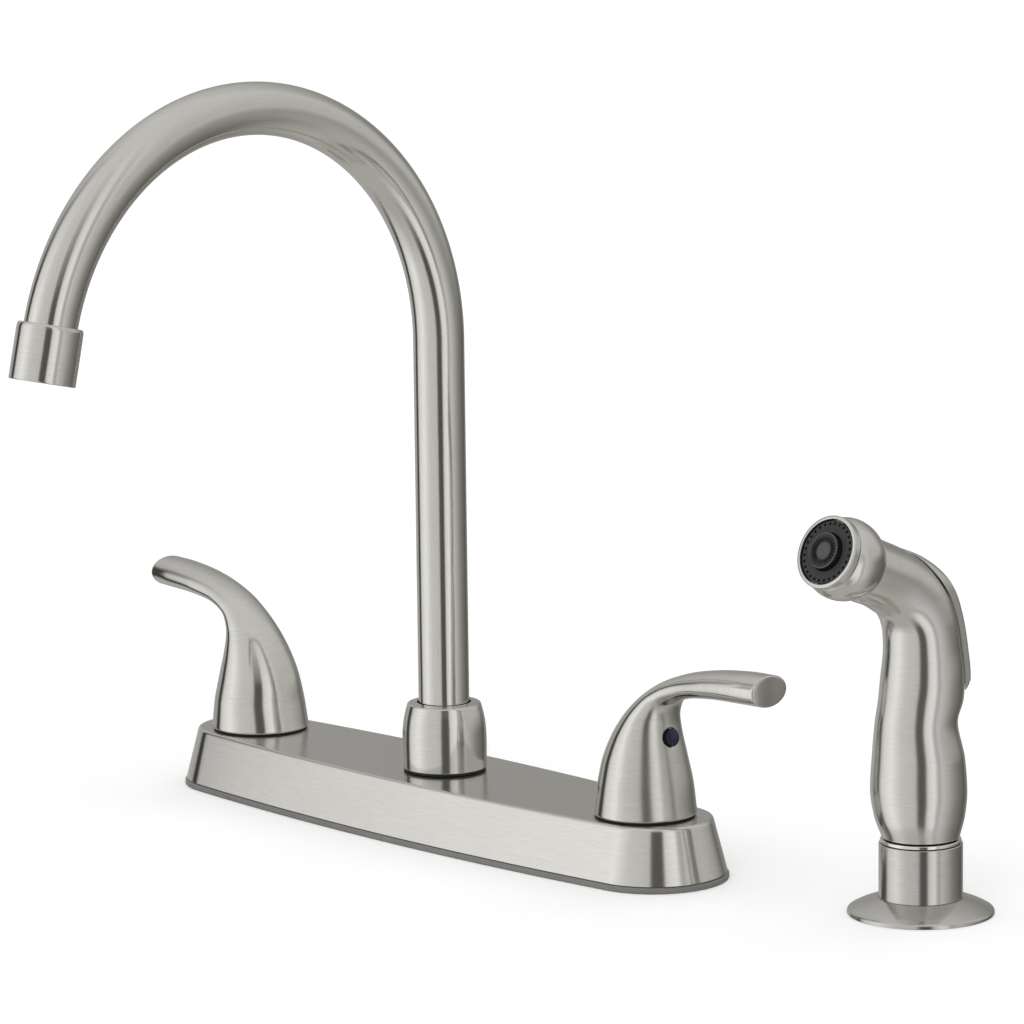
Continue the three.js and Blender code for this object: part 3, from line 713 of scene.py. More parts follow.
# ------------------------------------------------------------------ deck plate
@dataclass
class DeckPlate:
    """The plate on the sink deck and the rubber gasket under it. Lengths in millimetres."""

    half_length: float = 125.5
    half_width: float = 24.9
    end_r: float = 19.5
    top: float = PLATE_TOP
    handle_x: float = HANDLE_X
    hole_r: tuple[float, float] = (10.8, 11.9)
    gasket_hole_r: tuple[float, float] = (11.4, 11.4)
    side_points: int = 40
    middle_points: int = 60
    end_points: int = 72

    def outline(self, offset: float) -> np.ndarray:
        """Plan of the plate: two bowed arcs tangent to two round ends.

        Args:
            offset: what is added to the radius of every arc.
        Returns:
            The ring of points, n by 2.
        """
        end_x, bow = self.half_length - self.end_r, self.half_width - self.end_r
        bow_r = (end_x ** 2 / bow + self.end_r + self.half_width) / 2
        half = math.atan2(end_x, bow_r - self.half_width)
        split = math.asin(self.handle_x / 2 / bow_r)
        side = np.concatenate([np.linspace(-half, -split, self.side_points, endpoint=False),
                               np.linspace(-split, split, self.middle_points, endpoint=False),
                               np.linspace(split, half, self.side_points, endpoint=False)])
        end = np.linspace(-np.pi / 2 + half, np.pi / 2 - half, self.end_points, endpoint=False)
        arcs = [(0, bow_r - self.half_width, bow_r, side - np.pi / 2), (end_x, 0, self.end_r, end),
                (0, self.half_width - bow_r, bow_r, side + np.pi / 2), (-end_x, 0, self.end_r, end + np.pi)]
        return np.concatenate([np.stack([x + (r + offset) * np.cos(a), y + (r + offset) * np.sin(a)], 1)
                               for x, y, r, a in arcs])

    def zones(self, ring: np.ndarray) -> list[np.ndarray]:
        """Splits a ring of the outline into three loops, one round each hole.

        Args:
            ring: points of the outline.
        Returns:
            The left, middle and right loop.
        """
        one = self.side_points
        two = one + self.middle_points
        three = 2 * self.side_points + self.middle_points + self.end_points + one
        four = three + self.middle_points
        t = np.linspace(0, 1, 26)[1:-1, None]
        right = ring[two] + (ring[three] - ring[two]) * t
        left = ring[one] + (ring[four] - ring[one]) * t
        return [np.concatenate([ring[four:], ring[:one + 1], left]),
                np.concatenate([ring[one:two + 1], right, ring[three:four + 1], left[::-1]]),
                np.concatenate([ring[two:three + 1], right[::-1]])]

    def slab(self, line: np.ndarray, holes: tuple[float, float]) -> Surface:
        """A plate with three holes.

        The side carries the line of (offset, height) round the outline. Each face is a fan of
        straight rays from a hole's edge to the loop round it, and the holes' walls join the faces.

        Args:
            line: from the lower face's edge to the upper face's edge.
            holes: radius of the outer holes and of the middle one.
        Returns:
            The closed surface.
        """
        rings = np.stack([self.outline(o) for o, _ in line])
        heights = np.broadcast_to(line[:, 1][:, None], rings.shape[:2])
        side = np.concatenate([rings, heights[..., None]], axis=-1)
        s = np.broadcast_to(lengths(line)[:, None], rings.shape[:2])
        grain = np.stack([side[..., 0] * LINE_ALONG, side[..., 1] * LINE_ALONG, s * LINE_ACROSS], -1)
        shells = [sheet(side, grain)]
        centres = (-self.handle_x, 0.0, self.handle_x)
        radii = (holes[0], holes[1], holes[0])
        t = np.linspace(1, 0, 6)[:, None, None]
        for number, (x, r) in enumerate(zip(centres, radii)):
            faces = []
            for ring, z in ((rings[-1], line[-1, 1]), (rings[0], line[0, 1])):
                loop = self.zones(ring)[number]
                centre = np.array([x, 0.0])
                away = loop - centre
                edge = centre + r * away / np.linalg.norm(away, axis=1, keepdims=True)
                flat = edge + (loop - edge) * t
                faces.append(np.concatenate([flat, np.full((*flat.shape[:2], 1), z)], -1))
            # The side's faces run up and round; the fans run inward on top, down the hole and out below.
            face = np.concatenate([faces[0], faces[1][::-1]])
            lines = np.stack([face[..., 0] * LINE_ALONG, face[..., 1] * LINE_ACROSS * 0.6, face[..., 2]], -1)
            shells.append(sheet(face, lines))
        return joined(shells).sealed()

    def build(self) -> None:
        """Makes the plate and its gasket."""
        plate = rounded([(-1.4, 18.6), (2.75, 2.25), (5.17, 2.25), (0.313, self.top), (-1.6, self.top)],
                        (0, 0.4, 0.45, 1.25, 0), steps=7, closed=False)
        piece = dress("deck_plate_shell", self.slab(plate, self.hole_r), "deck_plate", NICKEL)
        refinish_faces(piece, NICKEL_TOP, of_faces(piece, "normal")[:, 2] > 0.999)
        gasket = rounded([(4.2, 0), (5.7, 0), (5.7, 2.1), (3.4, 2.15)], (0, 0.6, 0.9, 0), closed=False)
        dress("deck_gasket_pad", self.slab(gasket, self.gasket_hole_r), "deck_gasket", RUBBER_GREY)


# ------------------------------------------------------------------ lever handles
LEVER = Horn((
    (-17.6, 0, 17.6, 0, 17.6),
    (-15.8, 9, 16.2, 10.4, 16.6),
    (-13.8, 18.6, 14.1, 20.6, 14.5),
    (-9.2, 28.2, 12.5, 28.4, 12.1),
    (-2.0, 37.2, 12.2, 33.8, 9.8),
    (8.3, 44.9, 14.3, 38.5, 8.2),
    (20.7, 50.0, 21.0, 41.5, 8.0),
    (34.0, 52.9, 33.4, 43.3, 8.6),
    (48.1, 54.4, 47.0, 43.8, 8.8),
    (58.4, 54.7, 57.9, 43.9, 8.2),
))


class Side(Enum):
    """The two valves: name, position along X and direction of the closed lever in degrees."""

    HOT = ("hot", -HANDLE_X, 174.5)
    COLD = ("cold", HANDLE_X, 0.5)


@dataclass
class LeverHandle:
    """A lever handle with its index plug and the glide ring under its skirt."""

    side: Side
    plate_top: float = PLATE_TOP
    lift: float = 1.0
    skirt_r: float = 17.6
    edge_r: float = 0.45
    drop: float = 0.4
    plug_z: float = 28.2
    plug_r: float = 3.0
    plug_lean: float = -12.3
    seat_depth: float = 0.5
    seat_lean: float = 12.0
    near_plug: float = 0.5

    def frame(self) -> np.ndarray:
        """Returns the matrix that stands the lever on the plate, turned to its closed direction."""
        _, x, turn = self.side.value
        return place(x, 0, self.plate_top, about_z=turn)

    def lever(self) -> Surface:
        """The lever's skin from the stem bore down the hollow skirt, round its edge and up the horn.

        Rings in the hollow are circles of given radius and height. The horn's rings follow, with a
        shallow round seat pressed in for the plug, and the tip closes in a round edge and a flat dome.
        """
        near = self.near_plug
        a = np.concatenate([np.linspace(0, np.pi - near, 44, endpoint=False),
                            np.linspace(-near, near, 57) + np.pi,
                            np.linspace(np.pi + near, 2 * np.pi, 45)[1:-1]])
        inner = rounded([(0, 31.3), (4.2, 31.3), (4.2, 12.4), (7, 12.4), (10, 11.2), (13.75, 9.4), (15.0, 1),
                         (15.3, -self.drop), (self.skirt_r - self.edge_r, -self.drop)],
                        (0, 0.4, 0.4, 2, 2, 1.5, 0.3, 0.25, 0), closed=False)
        mirror = np.array([-1, 1, 1])
        hollow = polar(inner[:, :1], a, inner[:, 1:]) * mirror
        b = np.linspace(0, np.pi / 2, 7)[1:-1, None]
        edge = polar(self.skirt_r - self.edge_r * (1 - np.sin(b)), a,
                     (self.edge_r + self.drop) * (1 - np.cos(b)) - self.drop) * mirror
        t = np.concatenate([np.linspace(0.0062, 0.27, 26, endpoint=False),
                            np.linspace(0.27, 0.385, 46, endpoint=False), np.linspace(0.385, 1, 90)])
        horn = LEVER.point(t, np.broadcast_to(a, (len(t), len(a))))
        seat_r, soft, front_x, top_z = self.plug_r + 0.45, 0.25, 8, 34
        up = (horn[..., 2] - self.plug_z + self.lift) / math.cos(math.radians(self.seat_lean))
        pressed = smooth_step((seat_r - np.hypot(horn[..., 1], up)) / soft) * (horn[..., 0] > front_x)
        horn[..., 0] -= self.seat_depth * pressed * (horn[..., 2] < top_z)
        last, centre = horn[-1], horn[-1].mean(axis=0)
        c = np.linspace(0, np.pi / 2, 8)[1:]
        share = np.concatenate([1 - 0.12 * (1 - np.cos(c)), [0.8, 0.6, 0.4, 0.2, 0.0]])[:, None, None]
        forward = np.concatenate([0.9 * np.sin(c), [0.98, 1.08, 1.15, 1.19, 1.2]])[:, None]
        tip = centre + (last - centre) * share
        tip[..., 0] += forward
        points = np.concatenate([hollow, edge, horn, tip])
        travel = np.concatenate([-lengths(inner)[::-1] - 0.6, np.linspace(-0.5, 0, len(b)), LEVER.travel(t),
                                 LEVER.travel(t[-1:]) + np.linspace(0.2, 6, len(share))])
        return skin(points, horn_grain(points, travel)).moved(place(z=self.lift))

    def plug(self) -> Surface:
        """The round index plug: a low dome with a soft edge, leaning with the skirt's face."""
        r = self.plug_r
        dome = np.linspace(0, 1, 14)
        face = np.stack([r * 0.9 * (1 - dome), 1.15 + 0.35 * (1 - (1 - dome) ** 2)], axis=1)
        profile = np.concatenate([rounded([(0, -1.2), (r, -1.2), (r, 0.9), (r * 0.9, 1.15)],
                                          (0, 0.2, 0.25, 0), closed=False), face])
        return lathe(profile, 72).moved(place(12.72, 0, self.plug_z, about_y=90 + self.plug_lean))

    def build(self) -> None:
        """Makes the lever, the plug and the glide ring."""
        name, x, _ = self.side.value
        stand = self.frame()
        plug_finish, plug_slot = (PLUG_RED, "red_plug") if self.side is Side.HOT else (PLUG_BLUE, "blue_plug")
        lever = dress(f"{name}_lever", self.lever().moved(stand), f"handle_{name}", NICKEL)
        refinish_faces(lever, NICKEL_TIP, of_faces(lever, "normal") @ stand[:3, 0] > 0.25)
        plug = dress(f"{name}_index_plug", self.plug().moved(stand), f"index_plug_{name}", plug_finish)
        axis = stand[:3, :3] @ place(about_y=90 + self.plug_lean)[:3, 2]
        # Painted shade: the plug's side and the rim of its dome, down in the seat, are made near-black.
        refinish_faces(plug, PAINTED_SHADE_BLACK, of_faces(plug, "normal") @ axis < 0.7)
        ring = turned([(15.4, 0.06), (16.9, 0.06), (16.9, 0.5), (15.4, 0.5)], 0.12)
        dress(f"{name}_glide_ring", ring.moved(place(x, 0, self.plate_top)), f"glide_ring_{name}",
              RUBBER_BLACK)
        refinish(BRASS_CAST, f"cartridge_{name}", f"bonnet_nut_{name}", f"stem_{name}")
        refinish(STEEL_WIRE, f"set_screw_{name}")
        refinish(RUBBER_BLACK, f"cartridge_seal_{name}")
        refinish(CERAMIC, f"fixed_disc_{name}", f"moving_disc_{name}")


# ------------------------------------------------------------------ spout
@dataclass
class Spout:
    """The gooseneck tube, the nut that holds it, and the aerator at its end."""

    tube_r: float = 8.9
    wall: float = 1.0
    start_z: float = 36.8
    arc_z: float = 173.0
    arc_r: float = 86.1
    sweep: float = 167.0
    yaw: float = 0.8

    def path(self, h: np.ndarray) -> tuple[np.ndarray, np.ndarray, np.ndarray]:
        """The tube's centre line: up along Z, then an arc towards the front in the YZ plane.

        Args:
            h: distances along the line.
        Returns:
            The centre and the two cross directions at each.
        """
        a = np.maximum(h - self.arc_z, 0) / self.arc_r
        zero, one = np.zeros_like(h), np.ones_like(h)
        centre = np.stack([zero, -self.arc_r * (1 - np.cos(a)),
                           np.minimum(h, self.arc_z) + self.arc_r * np.sin(a)], -1)
        return centre, np.stack([one, zero, zero], -1), np.stack([zero, np.cos(a), np.sin(a)], -1)

    def tube(self) -> Surface:
        """The bent tube: a thin-walled loop of (radius, distance) carried along the centre line."""
        end = self.arc_z + self.arc_r * math.radians(self.sweep)
        low, high = self.tube_r - self.wall, self.tube_r
        s = np.linspace(self.start_z + 0.6, end - 0.6, 180)
        edge = np.array([[high, 0.25], [high - 0.25, 0.0], [low + 0.25, 0.0], [low, 0.25]])
        outer = np.stack([np.full_like(s, high), s], 1)
        inner = np.stack([np.full_like(s, low), s[::-1]], 1)
        profile = np.concatenate([outer, [0, end] - edge * [-1, 1], inner, [0, self.start_z] + edge[::-1]])
        return lathe(profile, 72, self.path, Lines.ALONG)

    def aerator_frame(self) -> np.ndarray:
        """Returns the matrix that carries an upright piece to the tube's end, pointing along the tube."""
        a = math.radians(self.sweep)
        y, z = -self.arc_r * (1 - math.cos(a)), self.arc_z + self.arc_r * math.sin(a)
        return place(about_z=self.yaw) @ place(0, y, z, about_x=self.sweep)

    def screen(self) -> Surface:
        """The aerator's white cartridge: a cup with a woven screen across it.

        A wire of the screen is a six-sided bar whose height is a small sine along its length.
        """
        parts = [turned([(0, 2.8), (9.3, 2.8), (9.3, 15.2), (9.0, 15.6), (8.3, 15.6), (7.9, 14.2),
                         (7.9, 12.2), (0, 12.2)], (0, 0.2, 0.15, 0.15, 0.15, 0.3, 0.2, 0))]
        hexagon = np.linspace(0, 2 * np.pi, 6, endpoint=False)
        wire_r, weave, pitch, mesh_r, screen_z = 0.13, 0.11, 0.7, 8.0, 13.6
        for way in (0, 90):
            for number, offset in enumerate(np.linspace(-7.35, 7.35, 22)):
                half = math.sqrt(max(mesh_r ** 2 - offset ** 2, 1))
                x = np.linspace(-half, half, 22)[:, None]
                wave = weave * np.sin(x / pitch * np.pi + number * np.pi + (way > 0) * np.pi)
                wire = np.stack([x + 0 * hexagon, offset + wire_r * np.cos(hexagon) + 0 * x,
                                 screen_z + wave + wire_r * np.sin(hexagon)], axis=-1)
                first, last = wire[:1].mean(axis=1, keepdims=True), wire[-1:].mean(axis=1, keepdims=True)
                wire = np.concatenate([np.repeat(first, 6, 1), wire, np.repeat(last, 6, 1)])
                parts.append(skin(wire, wire * 0.5).moved(place(about_z=way)))
        return joined(parts)

    def build(self) -> None:
        """Makes the tube, the nut, the glide ring and the aerator."""
        dress("spout_gooseneck", self.tube().moved(place(about_z=self.yaw)), "spout_tube", NICKEL_TUBE)
        nut = turned([(11.85, 22.1), (14.75, 22.1), (14.85, 33.5), (14.3, 39.5), (12.85, 44.9), (9.45, 45.35),
                      (9.45, 36.8), (11.85, 36.8)], (0.25, 0.3, 5, 5, 0.6, 0.25, 0.2, 0.2), 120, 9)
        collar = dress("spout_collar", nut, "spout_nut", NICKEL)
        # Painted shade: the faces inside the collar's bore are made near-black.
        bore_r = 9.5 * MM
        refinish_faces(collar, PAINTED_SHADE_BLACK, np.hypot(*of_faces(collar, "center")[:, :2].T) < bore_r)
        ring = turned([(11.8, 21.25), (14.4, 21.25), (14.4, 21.9), (11.8, 21.9)], 0.12)
        dress("collar_glide_ring", ring, "spout_glide_ring", RUBBER_BLACK)
        housing = turned([(9.15, -2.4), (10.5, -2.4), (10.95, -1.5), (11.0, 4.0), (11.0, 16.6), (9.7, 16.6),
                          (9.7, 0.4), (9.15, 0.2)], (0.2, 0.5, 0.9, 0.5, 0.55, 0.25, 0.2, 0.1), 120, 7)
        dress("aerator_shell", housing.moved(self.aerator_frame()), "aerator_housing", NICKEL)
        dress("aerator_screen", self.screen().moved(self.aerator_frame()), "aerator_insert", PLASTIC_WHITE)
        refinish(RUBBER_BLACK, "aerator_washer", "spout_o_ring_lower", "spout_o_ring_upper")
        refinish(BRASS_CAST, "spout_hub")


# ------------------------------------------------------------------ under the deck
@dataclass
class UnderDeck:
    """Supply shanks, washers, nuts and the spray outlet below the plate, and the casting inside it."""

    handle_x: float = HANDLE_X
    shank_r: float = 10.4
    pitch: float = 1.814

    def build(self) -> None:
        """Makes the pieces of each shank and the outlet."""
        shank = threaded([(5.9, -52), (9.6, -52), (self.shank_r, -50.8), (self.shank_r, 3), (7.9, 3),
                          (7.9, 6.3), (5.9, 6.3)], 2, self.pitch, 0.95)
        washer = turned([(10.8, -16.8), (21, -16.8), (21, -15), (10.8, -15)], 0.4)
        nut = hex_nut(33, 10.7, -26.5, -17.1)
        for name, x in (("hot", -self.handle_x), ("cold", self.handle_x)):
            dress(f"{name}_supply_shank", shank.moved(place(x)), f"supply_shank_{name}", BRASS)
            dress(f"{name}_washer", washer.moved(place(x)), f"shank_washer_{name}", STEEL)
            dress(f"{name}_lock_nut", nut.moved(place(x)), f"shank_nut_{name}", BRASS)
        outlet = threaded([(3.2, -32), (5.9, -32), (6.6, -31), (6.6, -10), (9.0, -10), (9.0, 3.0), (5.1, 3.0),
                           (5.1, 8.4), (3.2, 8.4)], 2, 1.41, 0.6)
        dress("spray_supply_outlet", outlet, "spray_outlet", BRASS)
        refinish(BRASS_CAST, "valve_casting")
        refinish(PLASTIC_BLACK, "diverter_plunger")


# ------------------------------------------------------------------ spray holder
@dataclass
class SprayHolder:
    """The escutcheon in the deck that the spray stands in."""

    stands_at: tuple[float, float] = SPRAY_AT

    def build(self) -> None:
        """Makes flange, gasket, threaded sleeve, bush and lock nut."""
        at = place(*self.stands_at)
        flange = turned([(13.05, 1.9), (23.0, 1.9), (23.2, 0.05), (24.1, 0.05), (24.1, 1.35), (20.5, 3.3),
                         (14.2, 5.45), (13.05, 5.45)], (0.2, 0.2, 0.2, 0.2, 0.75, 6, 0.15, 0.1), 160, 9)
        dress("holder_escutcheon", flange.moved(at), "holder_flange", NICKEL_STAND)
        gasket = turned([(13.2, 0), (22.6, 0), (22.6, 1.6), (13.2, 1.6)], 0.3)
        dress("holder_seal", gasket.moved(at), "holder_gasket", RUBBER_BLACK)
        sleeve = threaded([(11.25, -34), (12.1, -34), (12.75, -33), (12.75, 5.5), (13.75, 5.5), (13.75, 23.6),
                           (11.25, 23.6)], 2, 1.5, 0.5, columns=96,
                          radius=(0.35, 0.35, 0.35, 0.1, 0.1, 0.35, 0.35))
        dress("holder_cup", sleeve.moved(at), "holder_sleeve", NICKEL_STAND)
        bush = turned([(10.6, -4), (11, -4), (11, 23.85), (13.3, 23.85), (13.3, 25), (10.6, 25)],
                      (0.15, 0.15, 0.1, 0.25, 0.45, 0.4), 120, 7)
        dress("holder_liner", bush.moved(at), "holder_bush", NICKEL_BRIGHT)
        dress("holder_lock_nut", hex_nut(36, 12.95, -24, -15).moved(at), "holder_nut", PLASTIC_WHITE)


# ------------------------------------------------------------------ spray handset
@dataclass
class Handset:
    """The pull-up side spray: body, trigger, head and hose connector. Forward is +X until placed."""

    stands_at: tuple[float, float] = SPRAY_AT
    face_f: float = 44.0
    face_z: float = 125.3
    tilt: float = 23.3
    neck_s: float = 17.6
    neck_r: float = 10.6
    pivot: tuple[float, float] = (4.4, 110.9)
    press: float = 5.1
    pocket_z: tuple[float, float] = (71.75, 122.9)
    trigger_z: tuple[float, float] = (73.6, 122.4)
    trigger_half: float = 9.3
    round_from: float = 108.0
    sunk: float = 0.6
    sunk_z: tuple[float, float] = (106.0, 121.0)
    foot_z: float = 25.3
    slots: int = 28
    flutes: int = 30
    horn: Horn = field(init=False)

    def __post_init__(self) -> None:
        """Works out the neck's end ring and sets up the horn of the body."""
        a = math.radians(self.tilt)
        f, z = self.face_f - self.neck_s * math.cos(a), self.face_z - self.neck_s * math.sin(a)
        df, dz = self.neck_r * math.sin(a), self.neck_r * math.cos(a)
        self.horn = Horn((
            (-12.6, self.foot_z, 12.7, self.foot_z, 12.6),
            (-14.3, 32.2, 15.4, 32.0, 14.6),
            (-14.8, 41, 16.8, 41, 15.8),
            (-13.9, 52, 16.3, 52, 15.2),
            (-11.3, 64.2, 15.6, 63.8, 13.5),
            (-14.2, 70.8, 14.4, 70.8, 13.5),
            (-14.6, 77, 13.3, 77.8, 13.5),
            (-13.7, 87, 12.3, 88, 12.6),
            (-11.2, 98.5, 13.2, 95.4, 12.2),
            (-7.2, 109.1, 17.0, 100.6, 11.4),
            (2.3, 118.0, 23.0, 104.9, 10.9),
            (f - df, z + dz, f + df, z - dz, self.neck_r),
        ))

    def at(self) -> np.ndarray:
        """Returns the matrix that stands the handset in its holder, facing the front."""
        return place(*self.stands_at, about_z=-90)

    def on_face(self) -> np.ndarray:
        """Returns the matrix that lays an upright turned piece on the spray face's axis."""
        return self.at() @ place(self.face_f, 0, self.face_z, about_y=90 - self.tilt)

    def t_at_back(self, z: float) -> float:
        """Returns the horn's t where the back curve is at height z."""
        fine = np.linspace(0, 0.999, 2000)
        return float(np.interp(z, self.horn.curves(fine)[0][:, 1], fine))

    def half_at(self, height: np.ndarray) -> np.ndarray:
        """Half width of the trigger: full at first, then closing in like the end of an ellipse."""
        share = np.clip((height - self.round_from) / (self.trigger_z[1] + 0.3 - self.round_from), 0, 1)
        return self.trigger_half * np.sqrt(1 - 0.97 * share ** 2)

    def pocket_depth(self, height: np.ndarray) -> np.ndarray:
        """Depth of the trigger's pocket: the swing of a trigger pressed a little past its range, and 0.3.

        It is deeper where the trigger's end lies sunk in the neck.

        Args:
            height: heights on the back.
        Returns:
            The depth at each.
        """
        swing = (self.pivot[1] - height) * math.sin(math.radians(self.press))
        low, high = self.sunk_z
        sunk = self.sunk * smooth_step((height - low) / 5) * smooth_step((high - height) / 9)
        return np.maximum(swing, 0) + 0.3 + sunk

    def body(self) -> Surface:
        """The body's skin, with the trigger's pocket pressed into its back.

        Columns are placed so that two of them stand on the pocket's side walls at each ring: the
        angle of the wall is the arc sine of its distance over the ring's half width. Rings are
        doubled at the pocket's two ends. Inside the pocket the skin moves forward by the pocket's depth.
        """
        low, high = (self.t_at_back(z) for z in self.pocket_z)
        step, rings, floor_columns = 0.0008, (70, 90, 40), 41
        play, widest, seam, rib_half, rib_rise = 0.15, 0.97, 0.012, 3.1, 0.9
        t = np.concatenate([np.linspace(0, low - step, rings[0]), np.linspace(low, high, rings[1]),
                            np.linspace(high + step, 1, rings[2])])
        back, front, width = self.horn.curves(t)
        wall = np.arcsin(np.minimum((self.half_at(back[:, 1:]) + play) / width, widest))
        inside = np.linspace(-1, 1, floor_columns) * wall
        outside = wall + seam + np.linspace(0, 1, 90) * (2 * np.pi - 2 * wall - 2 * seam)
        a = np.concatenate([inside, outside], axis=1)
        # A rib under the neck runs from the head into the bend and dies out there.
        under = np.exp(-((np.mod(a, 2 * np.pi) - np.pi) * width / rib_half) ** 8)
        along = smooth_step((t - 0.80) / 0.07)[:, None] * smooth_step((1.02 - t) / 0.05)[:, None]
        points = self.horn.point(t, a, rib_rise * under * along)
        # The pocket's floor moves straight forward, so its side walls stand upright beside the trigger.
        deep = np.repeat([0.0, 1.0, 0.0], rings) * self.pocket_depth(back[:, 1])
        forward = (front - back) / np.linalg.norm(front - back, axis=1, keepdims=True) * deep[:, None]
        points[:, :floor_columns, ::2] += forward[:, None]
        # Foot: a rounded edge, then the underside with the bore of the hose connector.
        foot = rounded([(0, 36), (7.2, 36), (7.2, self.foot_z), (12.6, self.foot_z)], (0, 0.3, 0.4, 0),
                       closed=False)[:-1]
        first = points[0]
        middle = np.array([(first[:, 0].min() + first[:, 0].max()) / 2, 0, 0])
        round_ = (first - middle) / np.linalg.norm((first - middle)[:, :2], axis=1, keepdims=True)
        bore = foot[:, None, :1] * np.concatenate([round_[:, :2], np.zeros((len(a[0]), 1))], 1)[None]
        bore[..., 2] = foot[:, 1:]
        b = np.linspace(0, np.pi / 2, 7)[:-1, None, None]
        edge = first + (middle + [0, 0, self.foot_z] - first) * (0.7 / 12.6) * (1 - np.sin(b))
        edge[..., 2] = self.foot_z + 0.5 * (1 - np.cos(b[..., 0]))
        points[0, :, 2] = self.foot_z + 0.55
        # Neck: the last ring closes to the axis of the head.
        last = points[-1]
        axis = last.mean(axis=0)
        cap = axis + (last - axis) * np.array([0.98, 0.9, 0.5, 0])[:, None, None]
        tip = np.array([math.cos(math.radians(self.tilt)), 0, math.sin(math.radians(self.tilt))])
        cap = cap + tip * np.array([0.15, 0.3, 0.3, 0.3])[:, None, None]
        every = np.concatenate([bore, edge, points, cap])
        travel = np.concatenate([-lengths(foot)[::-1] - 1, np.linspace(-0.7, -0.1, len(b)),
                                 self.horn.travel(t), self.horn.travel(t[-1:]) + np.array([0.2, 1, 4, 8])])
        return skin(every, horn_grain(every, travel))

    def trigger(self) -> Surface:
        """The trigger: a bent plate over the back, proud of the body and sunk into the neck at its end.

        The outer face stands off the body's skin by 2.3 (1 - v^3), where v goes from 0 at height 98
        to 1 at the upper end, which runs out thin. Both side walls are flat, at the trigger's half
        width, and the lip's lower end slants: the outer face stops higher than the inner one.
        """
        low, high = (self.t_at_back(z) for z in self.trigger_z)
        u = np.concatenate([[0, 0.0015, 0.004, 0.008, 0.013], np.linspace(0.02, 1, 100)])
        t = low + (high - low) * u
        back, _, width = self.horn.curves(t)
        height = back[:, 1]
        proud, thins_from, gap, least = 2.3, 98, 0.4, 0.2
        lip_edge, lip_rise, lip_reach = 0.5, 2.6, 12
        v = np.clip((height - thins_from) / (height[-1] - thins_from), 0, 1)
        outer = (proud * (1 - v ** 3))[:, None]
        sunk = self.sunk * smooth_step((self.sunk_z[1] - height) / 9)
        inner = np.minimum(gap, outer - least - sunk[:, None])
        # Across: the outer face with its round corners, one wall, the inner face, the other wall.
        half, r = self.trigger_half, 0.4
        q = np.linspace(0, np.pi / 2, 5)[1:]
        flat = np.linspace(-(half - r), half - r, 41)
        y = np.concatenate([-(half - r) - r * np.sin(q[::-1]), flat, half - r + r * np.sin(q)])
        dip = r * np.concatenate([1 - np.cos(q[::-1]), np.zeros(41), 1 - np.cos(q)])
        narrow = (self.half_at(height) / half)[:, None]
        side = np.array([2 / 3, 1 / 3])
        loop_y = np.concatenate([y, [half, half], y[::-1], [-half, -half]])
        share = np.concatenate([np.ones(len(y)), side, np.zeros(len(y)), side[::-1]])
        loop_dip = np.concatenate([dip, [0, 0], np.zeros(len(y)), [0, 0]])
        # Along: the outer edge of the lip is rounded over its last half millimetre.
        end = np.sqrt(1 - np.clip(1 - (height - height[0]) / lip_edge, 0, 1) ** 2)[:, None]
        grow = inner + (outer - inner) * share * (0.75 + 0.25 * end) - loop_dip * smooth_step(outer / 1.5)
        middle = (outer + inner)[[0, -1]] / 2 + np.zeros((2, len(loop_y)))
        grow = np.concatenate([middle[:1], grow, middle[1:]])
        capped = [0, *range(len(t)), -1]
        t, width, narrow = t[capped], width[capped], narrow[capped]
        points = self.horn.point(t, np.arcsin(loop_y * narrow / (width + grow)), grow)
        fade = np.clip(1 - (height - height[0]) / lip_reach, 0, 1)[capped][:, None]
        slant = np.concatenate([np.full((1, len(share)), 0.5),
                                np.broadcast_to(share, (len(u) + 1, len(share)))])
        points[..., 2] += lip_rise * slant * fade
        return skin(points, horn_grain(points, self.horn.travel(t)))

    def ring(self) -> Surface:
        """The rubber spray ring: a flat ring whose face drops into slots near its outer edge.

        The height is the face's, less the slots' depth where the radius and the angle lie in a slot.
        Rows and columns are doubled at the slots' edges, so their walls stand upright.
        """
        slot_width, slot_at_r, slot_depth, step = 0.8, 9.3, 1.6, 0.004
        wide = slot_width / 2 / slot_at_r
        gap = 2 * np.pi / self.slots
        cell = np.array([-gap / 2, -gap / 4, -wide - step, -wide, 0, wide, wide + step, gap / 4])
        q = (np.arange(self.slots)[:, None] * gap + cell[None, :]).ravel()
        in_slot = np.tile(np.array([0, 0, 0, 1, 1, 1, 0, 0]), self.slots)
        r = np.array([6.3, 6.3, 6.4, 7.5, 8.96, 9.0, 9.4, 9.86, 9.9, 10.3, 10.4, 10.4])
        h = np.array([-4.6, -0.7, -0.6, -0.6, -0.6, -0.6, -0.6, -0.6, -0.6, -0.6, -0.7, -4.6])
        deep = np.array([0, 0, 0, 0, 0, 1, 1, 1, 0, 0, 0, 0])
        z = h[:, None] - slot_depth * deep[:, None] * in_slot[None, :]
        points = polar(r[:, None], q, z)
        return skin(points, points * 0.5, wrap_rows=True)

    def centre(self) -> Surface:
        """The raised middle of the face: a disc with a soft rim and radial flutes inside it.

        The height is the disc's plus a cosine of the angle times the number of flutes, between
        radius 2.4 and 5.45.
        """
        r = np.concatenate([[0], np.linspace(0.4, 2.2, 5), np.linspace(2.5, 5.3, 14),
                            [5.5, 5.75, 5.93, 6.0, 6.0, 0]])
        top = 1.1 + 0.1 * (r[:20] / 3.4) ** 2
        h = np.concatenate([top, 1.62 - np.array([0.02, 0.12, 0.3, 0.55]), [-4.6, -4.6]])
        q = np.linspace(0, 2 * np.pi, self.flutes * 6, endpoint=False)
        bell = smooth_step((r - 2.4) / 1.2) * smooth_step((5.45 - r) / 0.4)
        points = polar(r[:, None], q, h[:, None] + 0.5 * bell[:, None] * np.cos(self.flutes * q))
        return skin(points, points * 0.5)

